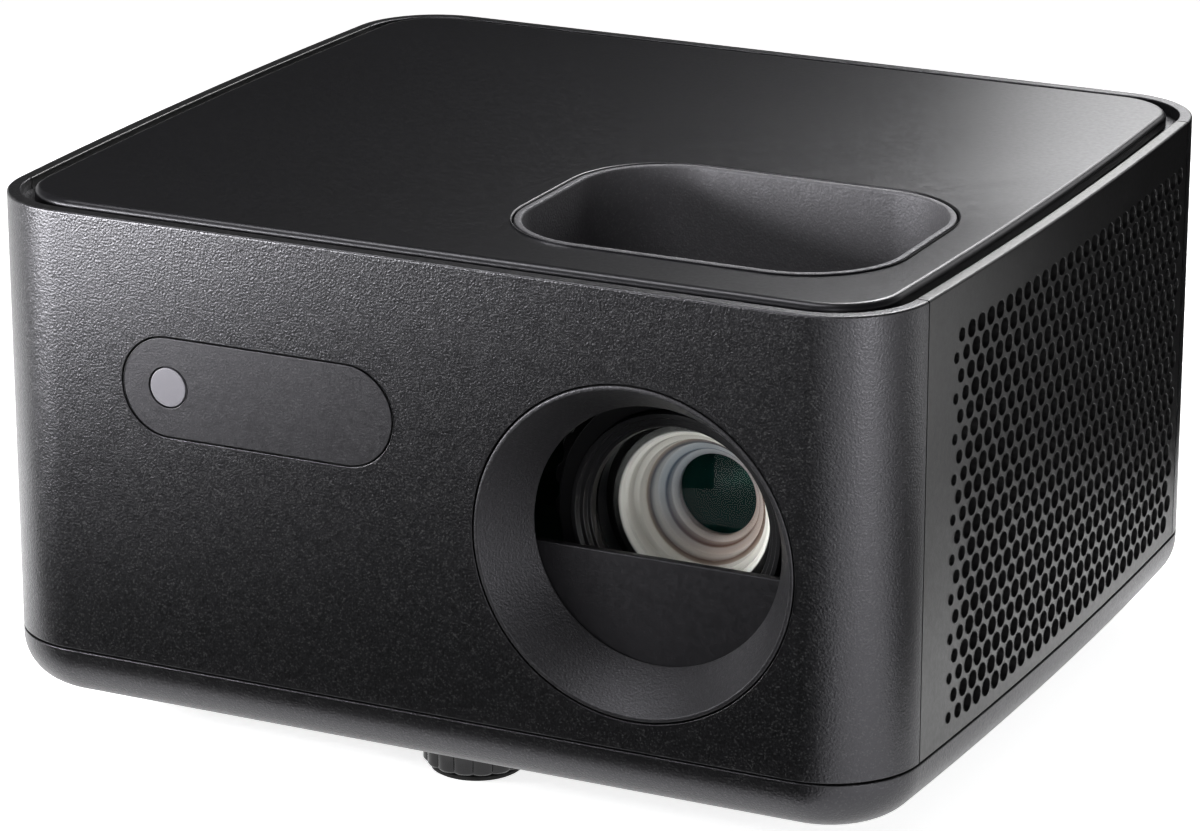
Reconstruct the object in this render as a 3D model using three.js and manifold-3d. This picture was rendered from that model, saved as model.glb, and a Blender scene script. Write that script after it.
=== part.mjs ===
// Home projector: a compact black projector with a recessed lens, a focus and zoom pocket in its
// top panel, perforated sides and one height-adjusting front foot.
// Millimetres. +X is to the right of someone facing the lens, -Y is the front, +Z is up.
// The origin is the middle of the footprint, on the surface that the feet stand on.

import * as THREE from 'three';
import { mergeGeometries, mergeVertices } from 'three/addons/utils/BufferGeometryUtils.js';
import Module from 'manifold-3d';

// ---- Body ----
const BODY_WIDTH = 220;
const BODY_DEPTH = 197.2;
const BODY_HEIGHT = 113.7;
const GROUND_CLEARANCE = 9.8;
const CORNER_RADIUS = 21;
const SIDE_BOW_RADIUS = 1700;
const WALL = 2.4;
const FIT = 0.3; // clearance between two pieces that seat on each other
const SEAM = 0.4; // visible gap between two shells

// ---- Bottom tray ----
const TRAY_HEIGHT = 12.4;
const TRAY_EDGE_RADIUS = 11;
const TRAY_FLOOR = 2.4;
const TONGUE_HEIGHT = 3;
const TONGUE_THICKNESS = 1.5;

// ---- Rim of the shells, and the top panel that lies in it ----
const RIM_WIDTH = 3;
const RIM_CHAMFER = 0.4;
const GROOVE_WIDTH = 3;
const GROOVE_DEPTH = 2.6;
const LEDGE_WIDTH = 8;
const LEDGE_THICKNESS = 2;
const LEDGE_GUSSET = 4;
const TOP_PANEL_RISE = 0.7;
const TOP_PANEL_EDGE_RADIUS = 1.6;

// ---- Perforation of the side panels ----
const GRILLE_PITCH = 14;
const GRILLE_HOLE = 11; // across the corners of each hexagon
const GRILLE_FRONT_MARGIN = 14;
const GRILLE_REAR_MARGIN = 7;
const GRILLE_LOW = 17;
const GRILLE_TOP_MARGIN = 12;
const GRILLE_FADE_START = 0.55; // size of the first holes, as a share of a full hole
const GRILLE_FADE_COLUMNS = 3; // half-pitches over which the holes grow to full size

// ---- Lens opening, bezel and shelf ----
const LENS_TO_SIDE = 59;
const LENS_HEIGHT = 56.4;
const OPENING_RADIUS = 37.1;
const BEZEL_FRONT_RADIUS = 35.8;
const BEZEL_REAR_RADIUS = 28.4;
const BEZEL_DEPTH = 13;
const BEZEL_WALL = 1.8;
const BEZEL_FLANGE_WIDTH = 1.4;
const SHELF_DROP = 5.2; // from the lens axis down to the shelf's straight edge
const SHELF_THICKNESS = 2;

// ---- Lens, as depths behind the front face and radii about the lens axis ----
const CELL_RADIUS = 24.4;
const BARREL_WALL = 2.9;
const BARREL_FRONT = 24;
const BARREL_COLLAR = 0.9;
const FOCUS_CELL_FRONT = 21.5;
const FOCUS_CELL_LENGTH = 11.5;
const FRONT_GLASS_RADIUS = 20.8;
const FRONT_GLASS_BULGE = 2.4;
const FRONT_GLASS_EDGE = 2.1;
const FRONT_GLASS_HOLLOW = 1.8;
const FRONT_GLASS_SETBACK = 4.1; // from the focus cell's rim back to the glass's edge
const CELL_RIM = 1;
const GLASS_LIP = 0.3;
const ZOOM_CELL_FRONT = 31.6;
const ZOOM_CELL_LENGTH = 24.4;
const ZOOM_FUNNEL_RADIUS = 17.5;
const ZOOM_FUNNEL_WALL = 1.6;
const ZOOM_STEPS = 4;
const ZOOM_STEP_TAPER = 0.35; // how far each step narrows towards its rear, as a share of its rise
const REAR_GLASS_DEPTH = 43.6;
const REAR_GLASS_RADIUS = 9.2;
const REAR_GLASS_THICKNESS = 3.5;
const RING_WALL = 4.6;
const RING_RIB = 1;
const RING_RIBS = 26;
const RIB_SHARES = [0.3, 0.7]; // where a rib starts and ends within its pitch
const FOCUS_RING_FRONT = 30;
const FOCUS_RING_WIDTH = 14;
const RING_SPACING = 5.4;
const ZOOM_RING_WIDTH = 12;
const ZOOM_LEVER_HEIGHT = 5.5;
const ZOOM_LEVER_WIDTH = 6;
const BARREL_TAIL = 12;
const BARREL_FLANGE_WIDTH = 5.4;
const BARREL_FLANGE_THICKNESS = 6;
const LIGHT_BORE = 18;

// ---- Pocket in the top panel ----
const POCKET_WIDTH = 89.5;
const POCKET_LENGTH = 70;
const POCKET_RADIUS = 23;
const POCKET_TO_SIDE = 61.8;
const POCKET_TO_FRONT = 57.6;
const POCKET_WALL = 1.6;
const POCKET_DRAFT = 1.5;
const POCKET_FLANGE = 4;
const POCKET_FLOOR_OVER_LENS = 30.5;
const POCKET_SLOT_MARGIN = 1.2;

// ---- Sensor window ----
const WINDOW_LENGTH = 66.5;
const WINDOW_HEIGHT = 23;
const WINDOW_TO_SIDE = 39;
const WINDOW_CENTRE_HEIGHT = 77.4;
const WINDOW_THICKNESS = 2;
const SENSOR_RADIUS = 4.4;
const SENSOR_INSET = 11.5;
const MODULE_DEPTH = 8;

// ---- Engine, cooling and boards ----
const INNER_CLEARANCE = 2;
const MOUNT_THICKNESS = 4;
const MOUNT_CORNER = 4;
const ENGINE_WIDTH = 72;
const ENGINE_LENGTH = 56;
const ENGINE_UNDER_LENS = 42.5;
const ENGINE_OVER_LENS = 23.5;
const ENGINE_CHAMFER = 8;
const SINK_BASE = 5;
const SINK_FIN = 2;
const SINK_PITCH = 6.2;
const SINK_TO_SOCKETS = 1;
const FAN_SIZE = 70;
const FAN_THICKNESS = 15;
const FAN_WALL = 2;
const FAN_HUB_RADIUS = 15;
const FAN_TIP_GAP = 1;
const FAN_BLADES = 7;
const FAN_BLADE_THICKNESS = 1.4;
const FAN_BLADE_REACH = 0.6; // half of a blade's chord, as a share of the rotor's depth
const FAN_LIFT = 16;
const SIDE_MARGIN = 1; // from a corner's blend to the fan or speaker beside it
const SPEAKER_LENGTH = 60;
const SPEAKER_HEIGHT = 60;
const SPEAKER_CONE_RADIUS = 24;
const SPEAKER_CONE_DEPTH = 8;
const SPEAKER_CAP_SHARE = 0.8; // of the cone's small end
const BOARD_HEIGHT = 22;
const BOARD_THICKNESS = 1.6;
const BOARD_LENGTH = 118;
const CHIP_SINK_SIZE = 36;
const CHIP_SINK_HEIGHT = 8;
const CHIP_SINK_TO_FRONT = 30;
const MEMORY_WIDTH = 12;
const MEMORY_LENGTH = 26;
const MEMORY_HEIGHT = 1.2;
const CHIP_SPACING = 6;
const SUPPLY_LENGTH = 42;
const SUPPLY_HEIGHT = 44;
const SUPPLY_TO_FRONT = 22;
const TRANSFORMER_WIDTH = 32;
const TRANSFORMER_HEIGHT = 32;
const SUPPLY_PART_MARGIN = 4;
const SUPPLY_PART_SPACING = 10;
const CAPACITOR_RADIUS = 8;
const CAPACITOR_HEIGHT = 34;
const COOLER_THICKNESS = 2;

// ---- Ports on the back ----
const BAY_TO_SIDE = 28;
const BAY_WIDTH = 126;
const BAY_HEIGHT = 32;
const BAY_CENTRE_HEIGHT = 34.5;
const BAY_RADIUS = 5;
const PORT_PLATE_THICKNESS = 1.5;
const SOCKET_DEPTH = 13;
const SOCKET_WALL = 0.7;
const SOCKET_MOUTH = 4.3; // clear depth in front of a socket's tongue
const SOCKET_TONGUE = { width: 0.7, low: 0.4, high: 0.65 }; // shares of the socket's inside
const HDMI_WIDTH = 14;
const HDMI_HEIGHT = 4.7;
const USB_WIDTH = 12.5;
const USB_HEIGHT = 5.2;
const PORT_PITCH = 20;
const FIRST_PORT_TO_BAY_END = 44;
const INLET_WIDTH = 24;
const INLET_HEIGHT = 16.4;
const INLET_DEPTH = 15;
const INLET_WALL = 2;
const INLET_TO_BAY_END = 18;
const INLET_PIN_LENGTH = 9;
const INLET_PIN_WIDTH = 2;
const INLET_PIN_HEIGHT = 4;
const INLET_PIN_SPACING = 7;
const INLET_PIN_STAGGER = 2.5;
const BUTTON_RADIUS = 6;
const BUTTON_TO_BAY_END = 11;
const BUTTON_RISE = 1;
const BUTTON_TRAVEL = 1.2;
const BUTTON_FLANGE = 1.4;
const BUTTON_STEM_RADIUS = 2;
const BUTTON_STEM_LENGTH = 3;
const SWITCH_SIZE = 6;

// ---- Feet and mounting inserts ----
const FRONT_FOOT_TO_FACE = 28.5;
const KNOB_RADIUS = 12;
const KNOB_HEIGHT = 5.4;
const KNOB_FLUTES = 16;
const KNOB_FLUTE_DEPTH = 0.7;
const KNOB_NECK_RADIUS = 8;
const FOOT_FLARE = 1; // how much wider the knob's neck is below, and a rear foot above
const FOOT_PAD_HEIGHT = 1.4;
const FOOT_PAD_RADIUS = 10.4;
const PAD_PIN_RADIUS = 2.5;
const PAD_PIN_HEIGHT = 3;
const STUD_RADIUS = 4;
const STUD_LENGTH = 22;
const INSERT_WALL = 2;
const INSERT_LENGTH = 12;
const BOSS_WALL = 2.2;
const REAR_FOOT_RADIUS = 9;
const REAR_FOOT_TO_SIDE = 36;
const REAR_FOOT_TO_REAR = 30;
const CEILING_INSERT_RADIUS = 3.6;
const CEILING_BORE_RADIUS = 2;
const CEILING_INSERT_LENGTH = 9;
const CEILING_SPACING_X = 120;
const CEILING_SPACING_Y = 80;
const POST_RADIUS = 3.2;

// ---- Smoothness of the round forms ----
const CORNER_STEPS = 6;
const SIDE_STEPS = 4;
const ROUND_STEPS = 36;
const LENS_STEPS = 24;
const SMALL_STEPS = 12;
const ARC_STEPS = 3; // half the segments in each arc of an extruded outline
const DISC_STEPS = 20;
const POST_STEPS = 6;
const HEXAGON = 6;
const INSERT_STEPS = 10;

const wasm = await Module();
wasm.setup();

// ================= Places worked out from the sizes above =================
const frontY = -BODY_DEPTH / 2;
const rearY = BODY_DEPTH / 2;
const sideArcX = BODY_WIDTH / 2 - SIDE_BOW_RADIUS;
const cornerY = BODY_DEPTH / 2 - CORNER_RADIUS;
const blendAngle = Math.asin(cornerY / (SIDE_BOW_RADIUS - CORNER_RADIUS));
const cornerX = sideArcX + (SIDE_BOW_RADIUS - CORNER_RADIUS) * Math.cos(blendAngle);
const sideX = BODY_WIDTH / 2 - SIDE_BOW_RADIUS * (1 - Math.cos(blendAngle));
const insideX = sideX - WALL - FIT;
const shellLow = TRAY_HEIGHT + SEAM;
const ledgeTop = BODY_HEIGHT - GROOVE_DEPTH;
const ledgeLow = ledgeTop - LEDGE_THICKNESS;
const ledgeInset = RIM_WIDTH + LEDGE_WIDTH;
const tongueInset = WALL + FIT + TONGUE_THICKNESS;
const topPanelLow = ledgeTop + FIT;
const topPanelHigh = BODY_HEIGHT + TOP_PANEL_RISE;
const lensX = BODY_WIDTH / 2 - LENS_TO_SIDE;
const barrelBore = CELL_RADIUS + FIT;
const barrelRadius = barrelBore + BARREL_WALL;
const ringBore = barrelRadius + FIT;
const ringRadius = ringBore + RING_WALL;
const focusRingRear = FOCUS_RING_FRONT + FOCUS_RING_WIDTH;
const zoomRingFront = focusRingRear + RING_SPACING;
const zoomRingRear = zoomRingFront + ZOOM_RING_WIDTH;
const barrelFlangeFront = zoomRingRear + BARREL_TAIL;
const barrelRear = barrelFlangeFront + BARREL_FLANGE_THICKNESS;
const engineFrontY = frontY + barrelRear + FIT + MOUNT_THICKNESS + FIT;
const engineRearY = engineFrontY + ENGINE_LENGTH;
const engineLeftX = lensX - ENGINE_WIDTH / 2;
const engineRightX = lensX + ENGINE_WIDTH / 2;
const engineLow = LENS_HEIGHT - ENGINE_UNDER_LENS;
const engineHigh = LENS_HEIGHT + ENGINE_OVER_LENS;
const pocketX = BODY_WIDTH / 2 - POCKET_TO_SIDE;
const pocketY = frontY + POCKET_TO_FRONT;
const pocketFloor = LENS_HEIGHT + POCKET_FLOOR_OVER_LENS;
const fanInnerX = insideX - FAN_THICKNESS;
const fanY = cornerY - SIDE_MARGIN - FAN_SIZE / 2;
const speakerY = cornerY - SIDE_MARGIN - SPEAKER_LENGTH / 2;
const boardLeftX = -fanInnerX + INNER_CLEARANCE;
const boardRightX = engineLeftX - INNER_CLEARANCE;
const bayLeftX = -BODY_WIDTH / 2 + BAY_TO_SIDE;
const bayRightX = bayLeftX + BAY_WIDTH;
const bayX = (bayLeftX + bayRightX) / 2;
const firstPortX = bayLeftX + FIRST_PORT_TO_BAY_END;
const inletX = bayLeftX + INLET_TO_BAY_END;
const buttonX = bayRightX - BUTTON_TO_BAY_END;
const socketMouthY = rearY - WALL - FIT;
const socketBackY = socketMouthY - SOCKET_DEPTH;
const portPlateRearY = socketMouthY - PORT_PLATE_THICKNESS;
const boardRearY = portPlateRearY - FIT;
const boardTop = BOARD_HEIGHT + BOARD_THICKNESS;
const frontFootY = frontY + FRONT_FOOT_TO_FACE;
const rearFootY = rearY - REAR_FOOT_TO_REAR;
const rearFootX = BODY_WIDTH / 2 - REAR_FOOT_TO_SIDE;
const windowX = -BODY_WIDTH / 2 + WINDOW_TO_SIDE + WINDOW_LENGTH / 2;
const insertRadius = STUD_RADIUS + FIT + INSERT_WALL;

// ================= Geometry helpers =================

// Merges shared corners, drops empty triangles and turns the faces outwards.
function closed(geometry) {
  const bare = new THREE.BufferGeometry();
  bare.setAttribute('position', geometry.getAttribute('position').clone());
  if (geometry.index) bare.setIndex(geometry.index.clone());
  const merged = mergeVertices(bare, 1e-4);
  const point = new THREE.Vector3();
  const corners = [];
  for (let i = 0; i < merged.attributes.position.count; i += 1) {
    corners.push(point.fromBufferAttribute(merged.attributes.position, i).clone());
  }
  const triangles = [];
  let volume = 0;
  for (let i = 0; i < merged.index.count; i += 3) {
    const [a, b, c] = [0, 1, 2].map((k) => merged.index.getX(i + k));
    if (a === b || b === c || c === a) continue;
    triangles.push([a, b, c]);
    volume += corners[a].dot(point.crossVectors(corners[b], corners[c]));
  }
  merged.setIndex((volume < 0 ? triangles.map(([a, b, c]) => [a, c, b]) : triangles).flat());
  return merged;
}

function toSolid(geometry) {
  const { attributes, index } = closed(geometry);
  return new wasm.Manifold(new wasm.Mesh({
    numProp: 3,
    vertProperties: new Float32Array(attributes.position.array),
    triVerts: new Uint32Array(index.array),
  }));
}

function toGeometry(solid) {
  const { vertProperties, triVerts } = solid.getMesh();
  const geometry = new THREE.BufferGeometry();
  geometry.setAttribute('position', new THREE.Float32BufferAttribute(vertProperties, 3));
  geometry.setIndex(Array.from(triVerts));
  return geometry;
}

function cut(base, ...tools) {
  return toGeometry(tools.reduce((solid, tool) => solid.subtract(toSolid(tool)), toSolid(base)));
}

function join(...pieces) {
  return toGeometry(pieces.map(toSolid).reduce((solid, piece) => solid.add(piece)));
}

// Several separate solids as one geometry.
function together(pieces) {
  return mergeGeometries(pieces.map(closed));
}

function mirrored(geometry) {
  return closed(geometry.clone().scale(-1, 1, 1));
}

// Triangles that close a flat loop of corners, wound as the loop is.
function capTriangles(loop) {
  const normal = new THREE.Vector3();
  const step = new THREE.Vector3();
  loop.forEach((corner, i) => normal.add(step.crossVectors(corner, loop[(i + 1) % loop.length])));
  normal.normalize();
  const across = new THREE.Vector3(normal.z, normal.x, normal.y).cross(normal).normalize();
  const up = new THREE.Vector3().crossVectors(normal, across);
  const flat = loop.map((corner) => new THREE.Vector2(corner.dot(across), corner.dot(up)));
  return THREE.ShapeUtils.triangulateShape(flat, []).map(([a, b, c]) => {
    const area = (flat[b].x - flat[a].x) * (flat[c].y - flat[a].y)
      - (flat[c].x - flat[a].x) * (flat[b].y - flat[a].y);
    return area > 0 ? [a, b, c] : [a, c, b];
  });
}

// A skin through closed loops of equally many corners: a ring if it is endless, otherwise capped.
function loft(loops, endless = false) {
  const size = loops[0].length;
  const triangles = [];
  const last = endless ? loops.length : loops.length - 1;
  for (let i = 0; i < last; i += 1) {
    const near = i * size;
    const far = ((i + 1) % loops.length) * size;
    for (let j = 0; j < size; j += 1) {
      const next = (j + 1) % size;
      triangles.push(near + j, near + next, far + next);
      triangles.push(near + j, far + next, far + j);
    }
  }
  if (!endless) {
    const end = (loops.length - 1) * size;
    capTriangles(loops[0]).forEach(([a, b, c]) => triangles.push(a, c, b));
    capTriangles(loops[loops.length - 1]).forEach(([a, b, c]) => triangles.push(end + a, end + b, end + c));
  }
  const geometry = new THREE.BufferGeometry().setFromPoints(loops.flat());
  geometry.setIndex(triangles);
  return closed(geometry);
}

// A body of revolution about the Y axis, from a closed profile of [radius, depth] corners.
function revolve(profile, steps = ROUND_STEPS) {
  const points = [...profile, profile[0]].map(([radius, depth]) => new THREE.Vector2(radius, depth));
  return closed(new THREE.LatheGeometry(points, steps));
}

// An upright disc or rod between two heights.
function rod(radius, low, high, steps = SMALL_STEPS, topRadius = radius) {
  const geometry = new THREE.CylinderGeometry(topRadius, radius, high - low, steps);
  return geometry.rotateX(Math.PI / 2).translate(0, 0, (low + high) / 2);
}

// A rod along X between two places.
function rodAlongX(radius, low, high, steps = SMALL_STEPS) {
  const geometry = new THREE.CylinderGeometry(radius, radius, high - low, steps);
  return geometry.rotateZ(Math.PI / 2).translate((low + high) / 2, 0, 0);
}

// A rod along Y between two depths.
function rodAlongY(radius, near, far, steps = SMALL_STEPS) {
  return new THREE.CylinderGeometry(radius, radius, far - near, steps).translate(0, (near + far) / 2, 0);
}

function block(low, high) {
  const size = high.map((value, i) => value - low[i]);
  return new THREE.BoxGeometry(...size).translate(...low.map((value, i) => value + size[i] / 2));
}

function roundedRectangle(width, height, radius) {
  const shape = new THREE.Shape();
  const x = width / 2 - radius;
  const y = height / 2 - radius;
  shape.absarc(x, y, radius, 0, Math.PI / 2);
  shape.absarc(-x, y, radius, Math.PI / 2, Math.PI);
  shape.absarc(-x, -y, radius, Math.PI, Math.PI * 1.5);
  shape.absarc(x, -y, radius, Math.PI * 1.5, Math.PI * 2);
  return shape;
}

// A plate with its outline in the XZ plane, from nearY back by its thickness.
function plateFacingY(shape, nearY, thickness, steps = ARC_STEPS) {
  const geometry = new THREE.ExtrudeGeometry(shape, {
    depth: thickness, bevelEnabled: false, curveSegments: steps,
  });
  return geometry.rotateX(Math.PI / 2).translate(0, nearY + thickness, 0);
}

// An outline drawn in the YZ plane, made solid along X.
function plateFacingX(shape, lowX, thickness) {
  const geometry = new THREE.ExtrudeGeometry(shape, { depth: thickness, bevelEnabled: false });
  const turned = new THREE.Matrix4().makeBasis(
    new THREE.Vector3(0, 1, 0), new THREE.Vector3(0, 0, 1), new THREE.Vector3(1, 0, 0),
  );
  return geometry.applyMatrix4(turned).translate(lowX, 0, 0);
}

// ================= Plan outline of the body =================
// A station is a place on the outline: the arc that it lies on, and its angle on that arc.

function arcStations(x, y, radius, from, to, steps) {
  return Array.from({ length: steps + 1 }, (_, i) => ({
    x, y, radius, angle: from + ((to - from) * i) / steps,
  }));
}

function mirrorStations(stations) {
  return stations.map((s) => ({ ...s, x: -s.x, angle: Math.PI - s.angle })).reverse();
}

function corner(station, inset, z) {
  const reach = station.radius - inset;
  return new THREE.Vector3(
    station.x + reach * Math.cos(station.angle), station.y + reach * Math.sin(station.angle), z,
  );
}

function sideStations(endGap) {
  const end = blendAngle - endGap / SIDE_BOW_RADIUS;
  return arcStations(sideArcX, 0, SIDE_BOW_RADIUS, -end, end, SIDE_STEPS);
}

const frontCorner = arcStations(cornerX, -cornerY, CORNER_RADIUS, -Math.PI / 2, -blendAngle, CORNER_STEPS);
const rearCorner = arcStations(cornerX, cornerY, CORNER_RADIUS, blendAngle, Math.PI / 2, CORNER_STEPS);
const rightHalf = [...frontCorner, ...sideStations(0).slice(1, -1), ...rearCorner];
const wholeOutline = [...rightHalf, ...mirrorStations(rightHalf)];

// Loops of the whole outline at each [inset, height] of a profile.
function outlineLoops(profile) {
  return profile.map(([inset, z]) => wholeOutline.map((station) => corner(station, inset, z)));
}

// ================= Casing =================

const shellProfile = [
  [0, shellLow],
  [0, BODY_HEIGHT - RIM_CHAMFER],
  [RIM_CHAMFER, BODY_HEIGHT],
  [RIM_WIDTH, BODY_HEIGHT],
  [RIM_WIDTH, ledgeTop],
  [ledgeInset, ledgeTop],
  [ledgeInset, ledgeLow],
  [WALL, ledgeLow - LEDGE_GUSSET],
  [WALL, shellLow],
];

function shellAlong(stations) {
  return loft(stations.map((station) => shellProfile.map(([inset, z]) => corner(station, inset, z))));
}

function windowOutline(shrink) {
  const height = WINDOW_HEIGHT - 2 * shrink;
  return roundedRectangle(WINDOW_LENGTH - 2 * shrink, height, height / 2);
}

function frontShell() {
  const through = WALL + 2 * FIT;
  const opening = rodAlongY(OPENING_RADIUS, 0, through, ROUND_STEPS);
  opening.translate(lensX, frontY - FIT, LENS_HEIGHT);
  const window = plateFacingY(windowOutline(0), frontY - FIT, through, 2 * ARC_STEPS);
  window.translate(windowX, 0, WINDOW_CENTRE_HEIGHT);
  return cut(shellAlong([...mirrorStations(frontCorner), ...frontCorner]), opening, window);
}

function rearPanel() {
  const outline = roundedRectangle(BAY_WIDTH, BAY_HEIGHT, BAY_RADIUS);
  const bay = plateFacingY(outline, rearY - WALL - FIT, WALL + 2 * FIT);
  bay.translate(bayX, 0, BAY_CENTRE_HEIGHT);
  return cut(shellAlong([...rearCorner, ...mirrorStations(rearCorner)]), bay);
}

// Hexagonal holes in staggered rows; the first columns behind the front edge grow to full size.
function grilleHoles() {
  const rowPitch = GRILLE_PITCH * Math.sqrt(3) / 2;
  const firstY = -cornerY + GRILLE_FRONT_MARGIN;
  const lastY = cornerY - GRILLE_REAR_MARGIN;
  const rows = Math.floor((ledgeLow - GRILLE_TOP_MARGIN - GRILLE_LOW) / rowPitch) + 1;
  const columns = Math.floor((lastY - firstY) / (GRILLE_PITCH / 2));
  const holes = [];
  for (let row = 0; row < rows; row += 1) {
    for (let column = row % 2; column <= columns; column += 2) {
      const growth = Math.min(1, column / GRILLE_FADE_COLUMNS);
      const radius = (GRILLE_HOLE / 2) * (GRILLE_FADE_START + (1 - GRILLE_FADE_START) * growth);
      const y = firstY + column * (GRILLE_PITCH / 2);
      const z = GRILLE_LOW + GRILLE_HOLE / 2 + row * rowPitch;
      holes.push(rodAlongX(radius, sideX - 2 * WALL, sideX + 2 * WALL, HEXAGON).translate(0, y, z));
    }
  }
  return together(holes);
}

function sidePanel() {
  return cut(shellAlong(sideStations(SEAM)), grilleHoles());
}

function quarterProfile(inset, z, radius, steps) {
  return Array.from({ length: steps + 1 }, (_, i) => {
    const angle = (Math.PI / 2) * (i / steps);
    return [inset + radius * (1 - Math.sin(angle)), z + radius * (1 - Math.cos(angle))];
  });
}

function trayShell() {
  const innerRadius = TRAY_EDGE_RADIUS - tongueInset;
  return loft(outlineLoops([
    ...quarterProfile(0, 0, TRAY_EDGE_RADIUS, ARC_STEPS),
    [0, TRAY_HEIGHT],
    [WALL + FIT, TRAY_HEIGHT],
    [WALL + FIT, TRAY_HEIGHT + TONGUE_HEIGHT],
    [tongueInset, TRAY_HEIGHT + TONGUE_HEIGHT],
    ...quarterProfile(tongueInset, TRAY_FLOOR, innerRadius, 2).reverse(),
  ]));
}

const ceilingPlaces = [-1, 1].flatMap((sx) => [-1, 1].map((sy) => [
  (sx * CEILING_SPACING_X) / 2, (sy * CEILING_SPACING_Y) / 2,
]));

// Posts that rise from the tray's floor to just under what stands on them.
function supportPosts() {
  const inset = POST_RADIUS + INNER_CLEARANCE;
  const engine = [engineLeftX + inset, engineRightX - inset].flatMap((x) => (
    [engineFrontY + inset, engineRearY - inset].map((y) => [x, y, engineLow])));
  const boardFrontY = boardRearY - BOARD_LENGTH;
  const board = [boardLeftX + inset, boardRightX - inset].flatMap((x) => (
    [boardFrontY + inset, boardRearY - inset].map((y) => [x, y, BOARD_HEIGHT])));
  const supplyY = frontY + SUPPLY_TO_FRONT + SUPPLY_LENGTH / 2;
  const supply = [boardLeftX + inset, boardRightX - inset].map((x) => [x, supplyY, FAN_LIFT]);
  const sidePieces = [
    [1, -speakerY],
    [1, fanY],
    [-1, -fanY],
    [-1, speakerY],
  ].map(([side, y]) => [side * (fanInnerX + FAN_THICKNESS / 3), y, FAN_LIFT]);
  return [...engine, ...board, ...supply, ...sidePieces].map(([x, y, top]) => (
    rod(POST_RADIUS, TRAY_FLOOR / 2, top - FIT, POST_STEPS).translate(x, y, 0)));
}

function bottomTray() {
  const bossRadius = insertRadius + FIT + BOSS_WALL;
  const insertBoss = rod(bossRadius, TRAY_FLOOR / 2, INSERT_LENGTH).translate(0, frontFootY, 0);
  const insertHole = rod(insertRadius + FIT, -FIT, INSERT_LENGTH + FIT).translate(0, frontFootY, 0);
  const ceilingHole = CEILING_INSERT_RADIUS + FIT;
  const ceilingBosses = ceilingPlaces.map(([x, y]) => (
    rod(ceilingHole + BOSS_WALL, TRAY_FLOOR / 2, CEILING_INSERT_LENGTH, INSERT_STEPS).translate(x, y, 0)));
  const ceilingHoles = ceilingPlaces.map(([x, y]) => (
    rod(ceilingHole, -FIT, CEILING_INSERT_LENGTH + FIT, INSERT_STEPS).translate(x, y, 0)));
  const filled = join(trayShell(), insertBoss, ...ceilingBosses, ...supportPosts());
  return cut(filled, insertHole, ...ceilingHoles);
}

function pocketLoop(inset, z) {
  const radius = POCKET_RADIUS - inset;
  const x = POCKET_WIDTH / 2 - POCKET_RADIUS;
  const y = POCKET_LENGTH / 2 - POCKET_RADIUS;
  const turns = [[x, -y, -Math.PI / 2], [x, y, 0], [-x, y, Math.PI / 2], [-x, -y, Math.PI]];
  return turns.flatMap(([cx, cy, from]) => (
    arcStations(pocketX + cx, pocketY + cy, radius, from, from + Math.PI / 2, CORNER_STEPS)
  )).map((station) => corner(station, 0, z));
}

function topPanel() {
  const edge = quarterProfile(RIM_WIDTH + GROOVE_WIDTH, 0, TOP_PANEL_EDGE_RADIUS, 3);
  const rounded = edge.map(([inset, z]) => [inset, topPanelHigh - z]).reverse();
  const plate = loft(outlineLoops([[RIM_WIDTH + GROOVE_WIDTH, topPanelLow], ...rounded]));
  const opening = loft([pocketLoop(0, topPanelLow - FIT), pocketLoop(0, topPanelHigh + FIT)]);
  return cut(plate, opening);
}

// A drafted cup that hangs by its flange under the top panel, with a slot over the lens rings.
function pocketLiner() {
  const flangeTop = topPanelLow - FIT;
  const flangeLow = flangeTop - POCKET_WALL;
  const underside = pocketFloor - POCKET_WALL;
  const inner = SEAM + POCKET_WALL;
  const cup = loft([
    pocketLoop(inner + POCKET_DRAFT, pocketFloor),
    pocketLoop(inner, topPanelHigh),
    pocketLoop(SEAM, topPanelHigh),
    pocketLoop(SEAM, flangeTop),
    pocketLoop(-POCKET_FLANGE, flangeTop),
    pocketLoop(-POCKET_FLANGE, flangeLow),
    pocketLoop(SEAM, flangeLow),
    pocketLoop(SEAM + POCKET_DRAFT, underside),
  ]);
  const halfSlot = Math.sqrt(ringRadius ** 2 - (underside - LENS_HEIGHT) ** 2) + POCKET_SLOT_MARGIN;
  const slot = block(
    [lensX - halfSlot, frontY + FOCUS_RING_FRONT - POCKET_SLOT_MARGIN, underside - FIT],
    [lensX + halfSlot, frontY + zoomRingRear + POCKET_SLOT_MARGIN, pocketFloor + FIT],
  );
  return cut(cup, slot);
}

// ================= Front pieces, about the lens axis =================

function lensBezel() {
  const outer = OPENING_RADIUS - SEAM;
  const flangeFront = WALL + FIT;
  const flangeRear = flangeFront + BEZEL_WALL;
  return revolve([
    [outer, 0],
    [BEZEL_FRONT_RADIUS, 0],
    [BEZEL_REAR_RADIUS, BEZEL_DEPTH],
    [BEZEL_REAR_RADIUS + BEZEL_WALL, BEZEL_DEPTH],
    [outer - BEZEL_WALL / 2, flangeRear],
    [OPENING_RADIUS + BEZEL_FLANGE_WIDTH, flangeRear],
    [OPENING_RADIUS + BEZEL_FLANGE_WIDTH, flangeFront],
    [outer, flangeFront],
  ], ROUND_STEPS);
}

// A half-moon that closes the bezel's rear mouth below the lens.
function lensShelf() {
  const radius = BEZEL_REAR_RADIUS + BEZEL_WALL;
  const reach = Math.asin(SHELF_DROP / radius);
  const shape = new THREE.Shape();
  shape.absarc(0, 0, radius, -reach, -Math.PI + reach, true);
  shape.closePath();
  return closed(plateFacingY(shape, BEZEL_DEPTH + FIT, SHELF_THICKNESS, ROUND_STEPS / 4));
}

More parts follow.
